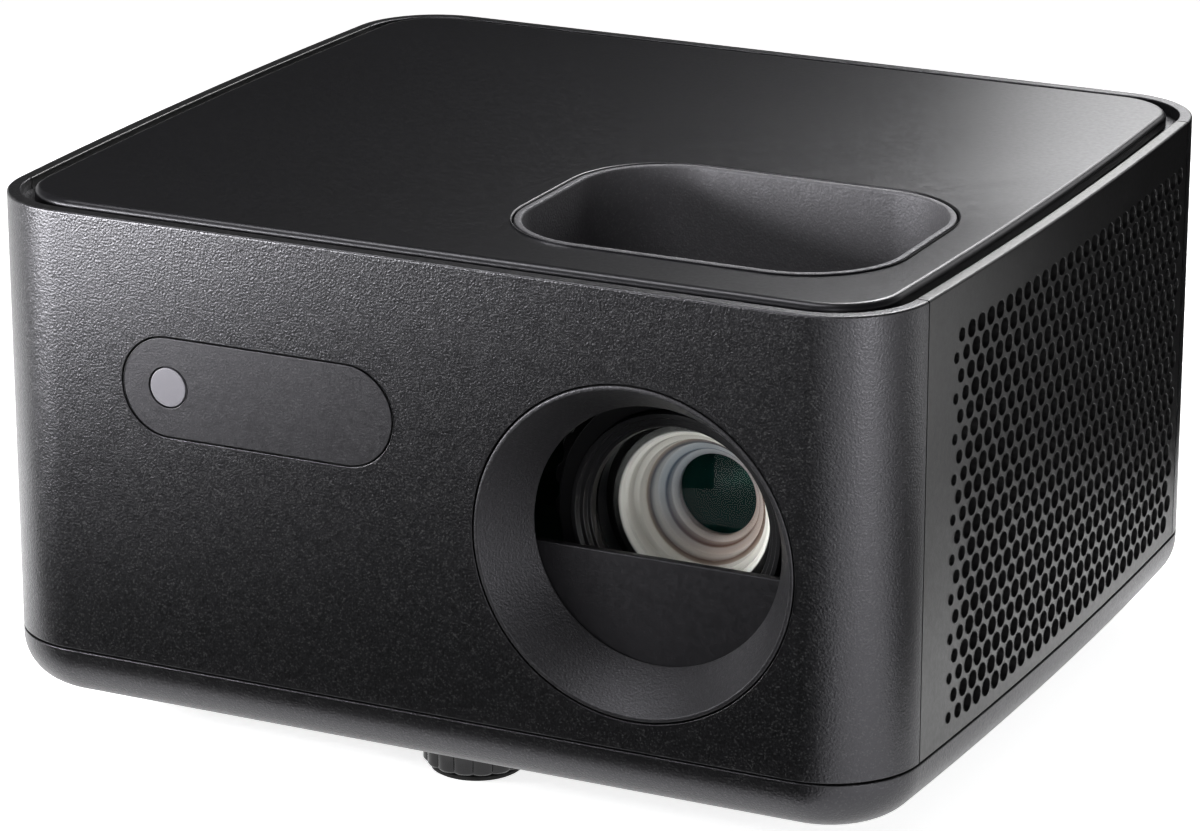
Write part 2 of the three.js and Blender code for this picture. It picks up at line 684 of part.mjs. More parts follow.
function sensorWindow() {
  const plate = plateFacingY(windowOutline(SEAM), 0, WINDOW_THICKNESS, 2 * ARC_STEPS);
  const hole = rodAlongY(SENSOR_RADIUS + FIT, -FIT, WINDOW_THICKNESS + FIT, DISC_STEPS);
  return cut(plate, hole.translate(SENSOR_INSET - WINDOW_LENGTH / 2, 0, 0));
}

function sensorDisc() {
  return closed(rodAlongY(SENSOR_RADIUS, 0, WINDOW_THICKNESS, DISC_STEPS));
}

// Board behind the window, with the camera behind the disc and a ranging sensor beside it.
function sensorModule() {
  const near = WINDOW_THICKNESS + FIT;
  const half = WINDOW_LENGTH / 2 - WINDOW_HEIGHT / 4;
  const boardNear = near + MODULE_DEPTH - BOARD_THICKNESS;
  const board = block([-half, boardNear, -WINDOW_HEIGHT / 3], [half, near + MODULE_DEPTH, WINDOW_HEIGHT / 3]);
  const camera = rodAlongY(SENSOR_RADIUS, near, boardNear + FIT);
  camera.translate(SENSOR_INSET - WINDOW_LENGTH / 2, 0, 0);
  const reach = SENSOR_RADIUS;
  const ranger = block([-reach, near, -reach], [2 * reach, boardNear + FIT, reach]);
  return join(board, camera, ranger);
}

// ================= Lens =================

// The fixed tube, with collars that hold the rings and a flange cut flat under the pocket's floor.
function lensBarrel() {
  const collar = barrelRadius + BARREL_COLLAR;
  const flange = barrelRadius + BARREL_FLANGE_WIDTH;
  const sleeve = revolve([
    [barrelBore, BARREL_FRONT],
    [collar, BARREL_FRONT],
    [collar, FOCUS_RING_FRONT - FIT],
    [barrelRadius, FOCUS_RING_FRONT - FIT],
    [barrelRadius, focusRingRear + FIT],
    [collar, focusRingRear + FIT],
    [collar, zoomRingFront - FIT],
    [barrelRadius, zoomRingFront - FIT],
    [barrelRadius, zoomRingRear + FIT],
    [collar, zoomRingRear + FIT],
    [collar, barrelFlangeFront - BARREL_TAIL / 2],
    [barrelRadius, barrelFlangeFront],
    [flange, barrelFlangeFront],
    [flange, barrelRear],
    [LIGHT_BORE, barrelRear],
    [LIGHT_BORE, zoomRingRear],
    [barrelBore, zoomRingRear],
  ], LENS_STEPS);
  const flat = block(
    [-flange, barrelFlangeFront - FIT, POCKET_FLOOR_OVER_LENS - POCKET_WALL - FIT],
    [flange, barrelRear + FIT, flange + FIT],
  );
  return cut(sleeve, flat);
}

const focusCellRear = FOCUS_CELL_FRONT + FOCUS_CELL_LENGTH;
const frontGlassSeat = FOCUS_CELL_FRONT + FRONT_GLASS_SETBACK;

function focusCell() {
  const lip = FRONT_GLASS_RADIUS - GLASS_LIP;
  const bore = FRONT_GLASS_RADIUS + FIT;
  return revolve([
    [CELL_RADIUS, FOCUS_CELL_FRONT],
    [CELL_RADIUS - CELL_RIM, FOCUS_CELL_FRONT],
    [lip, frontGlassSeat - FIT],
    [lip, frontGlassSeat],
    [bore, frontGlassSeat],
    [bore, focusCellRear],
    [CELL_RADIUS, focusCellRear],
  ], LENS_STEPS);
}

// Corners of a dome of the given height, from its apex out to its edge.
function domeProfile(radius, depth, sag, steps) {
  const sphere = (radius ** 2 + sag ** 2) / (2 * Math.abs(sag));
  return Array.from({ length: steps + 1 }, (_, i) => {
    const r = (radius * i) / steps;
    const drop = sphere - Math.sqrt(sphere ** 2 - r ** 2);
    return [r, depth + Math.sign(sag) * drop];
  });
}

function glassElement(radius, frontApex, frontSag, edge, rearSag) {
  const front = domeProfile(radius, frontApex, frontSag, 3);
  const rearEdge = frontApex + frontSag + edge;
  const rear = domeProfile(radius, rearEdge - rearSag, rearSag, 3).reverse();
  const points = [...front, ...rear].map(([r, depth]) => new THREE.Vector2(r, depth));
  return closed(new THREE.LatheGeometry(points, LENS_STEPS));
}

function frontGlass() {
  const apex = frontGlassSeat + FIT - FRONT_GLASS_BULGE;
  return glassElement(FRONT_GLASS_RADIUS, apex, FRONT_GLASS_BULGE, FRONT_GLASS_EDGE, FRONT_GLASS_HOLLOW);
}

// A stepped funnel that narrows to the inner glass, behind it a plain tube.
function zoomCell() {
  const seatRadius = REAR_GLASS_RADIUS + FIT;
  const lip = REAR_GLASS_RADIUS - GLASS_LIP;
  const rise = (ZOOM_FUNNEL_RADIUS - lip) / ZOOM_STEPS;
  const run = (REAR_GLASS_DEPTH - ZOOM_CELL_FRONT) / ZOOM_STEPS;
  const funnel = Array.from({ length: ZOOM_STEPS }, (_, i) => [
    [ZOOM_FUNNEL_RADIUS - rise * i, ZOOM_CELL_FRONT + run * i],
    [ZOOM_FUNNEL_RADIUS - rise * (i + ZOOM_STEP_TAPER), ZOOM_CELL_FRONT + run * (i + 1)],
  ]).flat();
  const rear = ZOOM_CELL_FRONT + ZOOM_CELL_LENGTH;
  const shoulder = focusCellRear + RING_SPACING;
  return revolve([
    ...funnel,
    [lip, REAR_GLASS_DEPTH],
    [lip, REAR_GLASS_DEPTH + FIT],
    [seatRadius, REAR_GLASS_DEPTH + FIT],
    [seatRadius, rear],
    [CELL_RADIUS, rear],
    [CELL_RADIUS, shoulder],
    [ZOOM_FUNNEL_RADIUS + ZOOM_FUNNEL_WALL, shoulder - FIT],
    [ZOOM_FUNNEL_RADIUS + ZOOM_FUNNEL_WALL, ZOOM_CELL_FRONT],
  ], LENS_STEPS);
}

function rearGlass() {
  const bulge = REAR_GLASS_THICKNESS / 4;
  const apex = REAR_GLASS_DEPTH + 2 * FIT;
  return glassElement(REAR_GLASS_RADIUS, apex, bulge, REAR_GLASS_THICKNESS, bulge / 2);
}

// A ribbed ring about the lens axis.
function ribbedRing(front, width) {
  const shape = new THREE.Shape();
  const [ribStart, ribEnd] = RIB_SHARES;
  for (let i = 0; i < RING_RIBS; i += 1) {
    [[0, ringRadius - RING_RIB], [ribStart, ringRadius], [ribEnd, ringRadius]].forEach(([share, radius]) => {
      const angle = ((i + share) / RING_RIBS) * 2 * Math.PI;
      const point = [radius * Math.cos(angle), radius * Math.sin(angle)];
      if (i === 0 && share === 0) shape.moveTo(...point);
      else shape.lineTo(...point);
    });
  }
  const bore = new THREE.Path();
  bore.absarc(0, 0, ringBore, 0, 2 * Math.PI);
  shape.holes.push(bore);
  return closed(plateFacingY(shape, front, width, LENS_STEPS / 2));
}

function zoomRing() {
  const half = ZOOM_LEVER_WIDTH / 2;
  const foot = ringRadius - RING_RIB - RING_WALL / 4;
  const lever = block(
    [-half, zoomRingFront + ZOOM_RING_WIDTH / 3, foot],
    [half, zoomRingRear - ZOOM_RING_WIDTH / 3, ringRadius + ZOOM_LEVER_HEIGHT],
  );
  return join(ribbedRing(zoomRingFront, ZOOM_RING_WIDTH), lever);
}

// ================= Engine and cooling =================

function lensMount() {
  const half = barrelRadius + BARREL_FLANGE_WIDTH + INNER_CLEARANCE;
  const outline = roundedRectangle(2 * half, ENGINE_UNDER_LENS + ENGINE_OVER_LENS, MOUNT_CORNER);
  const plate = plateFacingY(outline, barrelRear + FIT, MOUNT_THICKNESS);
  plate.translate(0, 0, (ENGINE_OVER_LENS - ENGINE_UNDER_LENS) / 2);
  return cut(plate, rodAlongY(LIGHT_BORE, barrelRear, barrelRear + MOUNT_THICKNESS + 2 * FIT, LENS_STEPS));
}

// A cast housing with chamfered long edges and a light port towards the lens.
function lightEngine() {
  const c = ENGINE_CHAMFER;
  const shape = new THREE.Shape([
    [engineLeftX + c, engineLow], [engineRightX - c, engineLow], [engineRightX, engineLow + c],
    [engineRightX, engineHigh - c], [engineRightX - c, engineHigh], [engineLeftX + c, engineHigh],
    [engineLeftX, engineHigh - c], [engineLeftX, engineLow + c],
  ].map(([x, z]) => new THREE.Vector2(x, z)));
  const port = rodAlongY(LIGHT_BORE, -FIT, ENGINE_LENGTH / 2, LENS_STEPS);
  port.translate(lensX, engineFrontY, LENS_HEIGHT);
  return cut(plateFacingY(shape, engineFrontY, ENGINE_LENGTH), port);
}

// Upright base against the engine, with level fins that reach back.
function heatSink() {
  const near = engineRearY + FIT;
  const far = socketBackY - SINK_TO_SOCKETS;
  const high = engineHigh;
  const fins = Math.floor((high - engineLow - SINK_FIN) / SINK_PITCH) + 1;
  const shape = new THREE.Shape();
  shape.moveTo(near, engineLow);
  for (let i = 0; i < fins; i += 1) {
    const z = engineLow + i * SINK_PITCH;
    shape.lineTo(far, z);
    shape.lineTo(far, z + SINK_FIN);
    if (i === fins - 1) break;
    shape.lineTo(near + SINK_BASE, z + SINK_FIN);
    shape.lineTo(near + SINK_BASE, z + SINK_PITCH);
  }
  shape.lineTo(near, engineLow + (fins - 1) * SINK_PITCH + SINK_FIN);
  return closed(plateFacingX(shape, engineLeftX, ENGINE_WIDTH));
}

// A square frame with a round duct, a motor seat and four struts; its axis is X.
function fanFrame() {
  const duct = FAN_SIZE / 2 - FAN_WALL;
  const half = FAN_SIZE / 2;
  const square = block([0, -half, -half], [FAN_THICKNESS, half, half]);
  const ring = cut(square, rodAlongX(duct, -FIT, FAN_THICKNESS + FIT, LENS_STEPS));
  const seat = rodAlongX(FAN_HUB_RADIUS, 0, FAN_WALL, SMALL_STEPS);
  const strut = block([0, -FAN_WALL, -duct - FAN_WALL / 2], [FAN_WALL, FAN_WALL, duct + FAN_WALL / 2]);
  return join(ring, seat, strut, strut.clone().rotateX(Math.PI / 2));
}

// Hub and swept blades, each a thin plate set at an angle to the axis.
function fanRotor() {
  const near = FAN_WALL + FIT;
  const depth = FAN_THICKNESS - near - FIT;
  const hub = rodAlongX(FAN_HUB_RADIUS, near, near + depth, SMALL_STEPS);
  const tip = FAN_SIZE / 2 - FAN_WALL - FAN_TIP_GAP;
  const blades = Array.from({ length: FAN_BLADES }, (_, i) => {
    const half = FAN_BLADE_THICKNESS / 2;
    const reach = depth * FAN_BLADE_REACH;
    const blade = block([-reach, -half, FAN_HUB_RADIUS - half], [reach, half, tip]);
    blade.rotateZ(Math.PI / 4);
    blade.translate(near + depth / 2, 0, 0);
    return blade.rotateX((2 * Math.PI * i) / FAN_BLADES);
  });
  return join(hub, ...blades);
}

// ================= Boards, speakers and ports =================

function mainBoard() {
  const front = boardRearY - BOARD_LENGTH;
  const plate = block([boardLeftX, front, BOARD_HEIGHT], [boardRightX, boardRearY, boardTop]);
  const low = boardTop - FIT;
  const left = (boardLeftX + boardRightX - CHIP_SINK_SIZE) / 2;
  const near = front + CHIP_SINK_TO_FRONT;
  const memoryLeft = left + CHIP_SINK_SIZE + CHIP_SPACING;
  const sink = block(
    [left, near, low], [left + CHIP_SINK_SIZE, near + CHIP_SINK_SIZE, boardTop + CHIP_SINK_HEIGHT],
  );
  const memory = block(
    [memoryLeft, near, low], [memoryLeft + MEMORY_WIDTH, near + MEMORY_LENGTH, boardTop + MEMORY_HEIGHT],
  );
  return join(plate, sink, memory);
}

function powerSupply() {
  const near = frontY + SUPPLY_TO_FRONT;
  const far = near + SUPPLY_LENGTH;
  const plate = block([boardLeftX, near, FAN_LIFT], [boardRightX, far, FAN_LIFT + BOARD_THICKNESS]);
  const low = FAN_LIFT + BOARD_THICKNESS - FIT;
  const inset = SUPPLY_PART_MARGIN;
  const capacitorX = boardLeftX + inset + CAPACITOR_RADIUS;
  const capacitors = [near + inset + CAPACITOR_RADIUS, far - inset - CAPACITOR_RADIUS].map((y) => (
    rod(CAPACITOR_RADIUS, low, FAN_LIFT + CAPACITOR_HEIGHT).translate(capacitorX, y, 0)));
  const left = capacitorX + CAPACITOR_RADIUS + SUPPLY_PART_SPACING;
  const right = left + TRANSFORMER_WIDTH;
  const transformer = block([left, near + inset, low], [right, far - inset, FAN_LIFT + TRANSFORMER_HEIGHT]);
  const coolerX = boardRightX - SUPPLY_PART_SPACING - CAPACITOR_RADIUS;
  const cooler = block(
    [coolerX - COOLER_THICKNESS, near + inset, low], [coolerX, far - inset, FAN_LIFT + SUPPLY_HEIGHT],
  );
  return join(plate, transformer, ...capacitors, cooler);
}

// A flat sealed box whose cone faces out through the grille; its axis is X.
function speaker() {
  const half = SPEAKER_LENGTH / 2;
  const box = block([0, -half, 0], [FAN_THICKNESS, half, SPEAKER_HEIGHT]);
  const small = SPEAKER_CONE_RADIUS / 2;
  const cone = new THREE.CylinderGeometry(SPEAKER_CONE_RADIUS, small, SPEAKER_CONE_DEPTH, DISC_STEPS);
  cone.rotateZ(-Math.PI / 2).translate(FAN_THICKNESS - SPEAKER_CONE_DEPTH / 2 + FIT, 0, SPEAKER_HEIGHT / 2);
  const cap = new THREE.SphereGeometry(small * SPEAKER_CAP_SHARE, SMALL_STEPS, ARC_STEPS * 2);
  cap.scale(0.5, 1, 1).translate(FAN_THICKNESS - SPEAKER_CONE_DEPTH, 0, SPEAKER_HEIGHT / 2);
  return join(cut(box, cone), cap);
}

// Ports from left to right: name, centre, inner width and inner height.
const portHeight = boardTop + FIT + SOCKET_WALL;
const ports = [
  ['hdmi_socket_1', firstPortX, HDMI_WIDTH, HDMI_HEIGHT],
  ['hdmi_socket_2', firstPortX + PORT_PITCH, HDMI_WIDTH, HDMI_HEIGHT],
  ['usb_socket', firstPortX + 2 * PORT_PITCH, USB_WIDTH, USB_HEIGHT],
];

function portPlate() {
  const flange = WALL;
  const front = portPlateRearY;
  const shape = roundedRectangle(BAY_WIDTH + 2 * flange, BAY_HEIGHT + 2 * flange, BAY_RADIUS);
  const plate = plateFacingY(shape, front, PORT_PLATE_THICKNESS);
  plate.translate(bayX, 0, BAY_CENTRE_HEIGHT);
  const slack = SOCKET_WALL + FIT;
  const cuts = ports.map(([, x, width, height]) => block(
    [x - width / 2 - slack, front - FIT, portHeight - slack],
    [x + width / 2 + slack, rearY, portHeight + height + slack],
  ));
  const inlet = block(
    [inletX - INLET_WIDTH / 2, front - FIT, BAY_CENTRE_HEIGHT - INLET_HEIGHT / 2],
    [inletX + INLET_WIDTH / 2, rearY, BAY_CENTRE_HEIGHT + INLET_HEIGHT / 2],
  );
  const button = rodAlongY(BUTTON_RADIUS + FIT, front - FIT, rearY, DISC_STEPS);
  button.translate(buttonX, 0, BAY_CENTRE_HEIGHT);
  return cut(plate, ...cuts, inlet, button);
}

// A metal shell with a closed back and a tongue set back from its mouth.
function socket(width, height) {
  const half = width / 2;
  const wall = SOCKET_WALL;
  const shell = block([-half - wall, socketBackY, -wall], [half + wall, socketMouthY, height + wall]);
  const hollow = block([-half, socketBackY + wall, 0], [half, socketMouthY + FIT, height]);
  const tongue = block(
    [-half * SOCKET_TONGUE.width, socketBackY + wall / 2, height * SOCKET_TONGUE.low],
    [half * SOCKET_TONGUE.width, rearY - WALL - SOCKET_MOUTH, height * SOCKET_TONGUE.high],
  );
  return join(cut(shell, hollow), tongue);
}

// The inlet's moulded box, with three flat pins that stop short of its mouth.
function powerInlet() {
  const mouth = portPlateRearY - FIT;
  const back = mouth - INLET_DEPTH - INLET_WALL;
  const x = INLET_WIDTH / 2;
  const z = INLET_HEIGHT / 2;
  const w = INLET_WALL;
  const box = block([-x - w, back, -z - w], [x + w, mouth, z + w]);
  const hollow = block([-x, back + w, -z], [x, mouth + FIT, z]);
  const halfPin = [INLET_PIN_WIDTH / 2, INLET_PIN_HEIGHT / 2];
  const pins = [-1, 0, 1].map((side) => {
    const px = side * INLET_PIN_SPACING;
    const pz = side ? -INLET_PIN_STAGGER : INLET_PIN_STAGGER;
    return block(
      [px - halfPin[0], back + w / 2, pz - halfPin[1]],
      [px + halfPin[0], back + w + INLET_PIN_LENGTH, pz + halfPin[1]],
    );
  });
  return join(cut(box, hollow), ...pins);
}

const buttonFace = socketMouthY + BUTTON_RISE;
const buttonFlangeRear = portPlateRearY - FIT;
const buttonStemEnd = buttonFlangeRear - BUTTON_FLANGE - BUTTON_STEM_LENGTH;

function powerButton() {
  const inner = buttonFlangeRear - BUTTON_FLANGE;
  const cap = rodAlongY(BUTTON_RADIUS, inner, buttonFace, DISC_STEPS);
  const flange = rodAlongY(BUTTON_RADIUS + BUTTON_FLANGE, inner, buttonFlangeRear, DISC_STEPS);
  const stem = rodAlongY(BUTTON_STEM_RADIUS, buttonStemEnd, inner + FIT);
  return join(cap, flange, stem);
}

// A small board behind the button, with the switch that the stem presses.
function buttonBoard() {
  const half = SWITCH_SIZE / 2;
  const switchTop = buttonStemEnd - FIT - BUTTON_TRAVEL;
  const boardTopY = switchTop - FIT;
  const reach = SWITCH_SIZE;
  const board = block([-reach, boardTopY - BOARD_THICKNESS, -reach], [reach, boardTopY, reach]);
  const body = block([-half, boardTopY - FIT, -half], [half, switchTop, half]);
  return join(board, body);
}

// ================= Feet, inserts =================

function footKnob() {
  const low = FOOT_PAD_HEIGHT + FIT - GROUND_CLEARANCE;
  const shape = new THREE.Shape();
  const corners = KNOB_FLUTES * 2;
  for (let i = 0; i < corners; i += 1) {
    const radius = KNOB_RADIUS - (i % 2) * KNOB_FLUTE_DEPTH;
    const angle = ((i + 0.5) / corners) * 2 * Math.PI;
    shape[i ? 'lineTo' : 'moveTo'](radius * Math.cos(angle), radius * Math.sin(angle));
  }
  const rim = new THREE.ExtrudeGeometry(shape, { depth: KNOB_HEIGHT, bevelEnabled: false });
  rim.translate(0, 0, low);
  const neckRadius = KNOB_NECK_RADIUS + FOOT_FLARE;
  const neck = rod(neckRadius, low + KNOB_HEIGHT - FIT, -FIT, DISC_STEPS, KNOB_NECK_RADIUS);
  const stud = rod(STUD_RADIUS, low + KNOB_HEIGHT, low + STUD_LENGTH);
  const pinHole = rod(PAD_PIN_RADIUS + FIT, low - FIT, low + PAD_PIN_HEIGHT);
  return cut(join(rim, neck, stud), pinHole);
}

function footPad() {
  const low = -GROUND_CLEARANCE;
  const pad = rod(FOOT_PAD_RADIUS, low, low + FOOT_PAD_HEIGHT, DISC_STEPS);
  return join(pad, rod(PAD_PIN_RADIUS, low, low + FOOT_PAD_HEIGHT + PAD_PIN_HEIGHT));
}

function tube(outer, inner, low, high, steps) {
  return cut(rod(outer, low, high, steps), rod(inner, low - FIT, high + FIT, steps));
}

function footInsert() {
  return tube(insertRadius, STUD_RADIUS + FIT, 0, INSERT_LENGTH, SMALL_STEPS);
}

function rearFoot() {
  return closed(rod(REAR_FOOT_RADIUS, -GROUND_CLEARANCE, -FIT, DISC_STEPS, REAR_FOOT_RADIUS + FOOT_FLARE));
}

function ceilingInsert() {
  return tube(CEILING_INSERT_RADIUS, CEILING_BORE_RADIUS, 0, CEILING_INSERT_LENGTH, INSERT_STEPS);
}

// ================= Assembly =================

const finishes = {
  casing: { color: 0x232326, roughness: 0.5, metalness: 0.1 },
  panel: { color: 0x29292d, roughness: 0.42, metalness: 0.1 },
  gloss: { color: 0x141416, roughness: 0.22, metalness: 0.1 },
  disc: { color: 0xa9a5aa, roughness: 0.5, metalness: 0.1 },
  rubber: { color: 0x1b1b1c, roughness: 0.85, metalness: 0 },
  lensBlack: { color: 0x111113, roughness: 0.35, metalness: 0.3 },
  cell: { color: 0xcfc8b8, roughness: 0.3, metalness: 0.4 },
  glass: { color: 0x2c4a52, roughness: 0.05, metalness: 0, transparent: true, opacity: 0.4 },
  coated: { color: 0x0f2a24, roughness: 0.05, metalness: 0.2 },
  metal: { color: 0x9a9da1, roughness: 0.45, metalness: 0.9 },
  brass: { color: 0xb08d4f, roughness: 0.4, metalness: 0.9 },
  board: { color: 0x1f5137, roughness: 0.6, metalness: 0.1 },
  inner: { color: 0x38393c, roughness: 0.7, metalness: 0.1 },
};

function piece(parent, name, geometry, finish, place = [0, 0, 0]) {
  const mesh = new THREE.Mesh(geometry, new THREE.MeshStandardMaterial(finishes[finish]));
  mesh.name = name;
  mesh.position.set(...place);
  parent.add(mesh);
}

function group(parent, place, turn = 0) {
  const child = new THREE.Group();
  child.position.set(...place);
  child.rotation.z = turn;
  parent.add(child);
  return child;
}

function addCasing(body) {
  piece(body, 'front_shell', frontShell(), 'casing');
  const panel = sidePanel();
  piece(body, 'right_side_panel', panel, 'panel');
  piece(body, 'left_side_panel', mirrored(panel), 'panel');
  piece(body, 'rear_panel', rearPanel(), 'casing');
  piece(body, 'bottom_tray', bottomTray(), 'casing');
  piece(body, 'top_panel', topPanel(), 'panel');
  piece(body, 'pocket_liner', pocketLiner(), 'casing');
}

function addLens(body) {
  const lens = group(body, [lensX, frontY, LENS_HEIGHT]);
  piece(lens, 'lens_bezel', lensBezel(), 'casing');
  piece(lens, 'lens_shelf', lensShelf(), 'panel');
  piece(lens, 'lens_barrel', lensBarrel(), 'lensBlack');
  piece(lens, 'focus_cell', focusCell(), 'lensBlack');
  piece(lens, 'front_glass', frontGlass(), 'glass');
  piece(lens, 'zoom_cell', zoomCell(), 'cell');
  piece(lens, 'rear_glass', rearGlass(), 'coated');
  piece(lens, 'focus_ring', ribbedRing(FOCUS_RING_FRONT, FOCUS_RING_WIDTH), 'lensBlack');
  piece(lens, 'zoom_ring', zoomRing(), 'lensBlack');
  piece(lens, 'lens_mount', lensMount(), 'metal');
}

function addWindow(body) {
  const window = group(body, [windowX, frontY, WINDOW_CENTRE_HEIGHT]);
  piece(window, 'sensor_window', sensorWindow(), 'panel');
  piece(window, 'sensor_disc', sensorDisc(), 'disc', [SENSOR_INSET - WINDOW_LENGTH / 2, 0, 0]);
  piece(window, 'sensor_module', sensorModule(), 'board');
}

// Fans and speakers stand against the side walls, turned half round on the left.
function addCooling(body) {
  piece(body, 'light_engine', lightEngine(), 'metal');
  piece(body, 'heat_sink', heatSink(), 'metal');
  const fanHeight = FAN_LIFT + FAN_SIZE / 2;
  const exhaust = group(body, [fanInnerX, fanY, fanHeight]);
  piece(exhaust, 'exhaust_fan_frame', fanFrame(), 'inner');
  piece(exhaust, 'exhaust_fan_rotor', fanRotor(), 'gloss');
  const intake = group(body, [-fanInnerX, -fanY, fanHeight], Math.PI);
  piece(intake, 'intake_fan_frame', fanFrame(), 'inner');
  piece(intake, 'intake_fan_rotor', fanRotor(), 'gloss');
}

function addElectronics(body) {
  piece(group(body, [fanInnerX, -speakerY, FAN_LIFT]), 'right_speaker', speaker(), 'inner');
  piece(group(body, [-fanInnerX, speakerY, FAN_LIFT], Math.PI), 'left_speaker', speaker(), 'inner');
  piece(body, 'main_board', mainBoard(), 'board');
  piece(body, 'power_supply', powerSupply(), 'board');
  piece(body, 'port_plate', portPlate(), 'gloss');
  ports.forEach(([name, x, width, height]) => {
    piece(body, name, socket(width, height), 'metal', [x, 0, portHeight]);
  });
  piece(body, 'power_inlet', powerInlet(), 'inner', [inletX, 0, BAY_CENTRE_HEIGHT]);
  piece(body, 'power_button', powerButton(), 'gloss', [buttonX, 0, BAY_CENTRE_HEIGHT]);
  piece(body, 'button_board', buttonBoard(), 'board', [buttonX, 0, BAY_CENTRE_HEIGHT]);
}

function addFeet(body) {
  const foot = group(body, [0, frontFootY, 0]);
  piece(foot, 'foot_knob', footKnob(), 'gloss');
  piece(foot, 'foot_pad', footPad(), 'rubber');
  piece(foot, 'foot_insert', footInsert(), 'brass');
  piece(body, 'rear_right_foot', rearFoot(), 'rubber', [rearFootX, rearFootY, 0]);
  piece(body, 'rear_left_foot', rearFoot(), 'rubber', [-rearFootX, rearFootY, 0]);
  ceilingPlaces.forEach(([x, y], i) => {
    piece(body, `ceiling_insert_${i + 1}`, ceilingInsert(), 'brass', [x, y, 0]);
  });
}

const projector = new THREE.Group();
const body = group(projector, [0, 0, GROUND_CLEARANCE]);
addCasing(body);
addLens(body);
addWindow(body);
addCooling(body);
addElectronics(body);
addFeet(body);

export default projector;
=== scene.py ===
# The projector's visible surfaces, its materials, a plain studio and the camera.
# Sizes are in millimetres, with heights from the body's underside; cleaned() makes metres of them in the
# frame's own axes.
import math

import bmesh
import bpy
from mathutils import Matrix, Vector
from mathutils.geometry import delaunay_2d_cdt


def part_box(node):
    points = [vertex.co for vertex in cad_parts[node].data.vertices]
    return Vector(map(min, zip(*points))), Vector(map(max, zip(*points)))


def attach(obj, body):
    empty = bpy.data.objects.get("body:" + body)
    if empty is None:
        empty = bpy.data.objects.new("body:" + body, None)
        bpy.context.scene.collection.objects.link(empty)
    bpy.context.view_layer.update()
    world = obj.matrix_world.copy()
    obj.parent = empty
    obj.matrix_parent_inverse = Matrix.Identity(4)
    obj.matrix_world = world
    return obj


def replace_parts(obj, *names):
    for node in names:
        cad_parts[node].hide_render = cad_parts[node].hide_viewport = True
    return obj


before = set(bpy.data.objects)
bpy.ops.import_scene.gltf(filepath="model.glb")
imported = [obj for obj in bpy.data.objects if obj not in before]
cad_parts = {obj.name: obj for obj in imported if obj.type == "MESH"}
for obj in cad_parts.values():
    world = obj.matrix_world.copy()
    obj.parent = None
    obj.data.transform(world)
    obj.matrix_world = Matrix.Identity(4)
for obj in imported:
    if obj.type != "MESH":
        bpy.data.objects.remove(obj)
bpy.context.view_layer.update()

MM = 0.001
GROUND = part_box("bottom_tray")[0].z / MM


def span(node):
    """A CAD node's lowest and highest corners, in millimetres above the body's underside."""
    lift = Vector((0, 0, GROUND))
    return tuple(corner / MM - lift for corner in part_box(node))


def centre(node):
    low, high = span(node)
    return (low + high) / 2


# ---- Sizes of the casing, from the frame ----
HALF_WIDTH = span("right_side_panel")[1].x
HALF_DEPTH = -span("front_shell")[0].y
HEIGHT = span("front_shell")[1].z
SHELL_LOW = span("front_shell")[0].z
PLATE_TOP = span("top_panel")[1].z
PLATE_LOW = span("top_panel")[0].z
FRONT_Y = -HALF_DEPTH
LENS = centre("lens_bezel")
LENS_X, LENS_Z = LENS.x, LENS.z

# ---- Shape of the casing ----
# CORNER and BOW are the radii of the plan's corners and of its slightly convex sides.
CORNER = 21.0
BOW = 1700.0
WALL = 2.4
FIT = 0.3
SEAM = 0.4
RIM = 3.0
GROOVE = 3.0
LEDGE = 11.0
LEDGE_TOP = PLATE_LOW - FIT
LEDGE_THICKNESS = 2.0
LEDGE_LOW = LEDGE_TOP - LEDGE_THICKNESS
GUSSET = 4.0
EDGE = 0.3
SEAM_LIP = 0.12
LIP_STEPS = 3
RIM_EDGE = 0.55
CORNER_STEPS = 28
SIDE_STEPS = 12
ROUND = 128
CREASE = math.radians(50)

BOW_X = HALF_WIDTH - BOW
CORNER_Y = HALF_DEPTH - CORNER
BLEND = math.asin(CORNER_Y / (BOW - CORNER))
CORNER_X = BOW_X + (BOW - CORNER) * math.cos(BLEND)


# ================= Building meshes =================

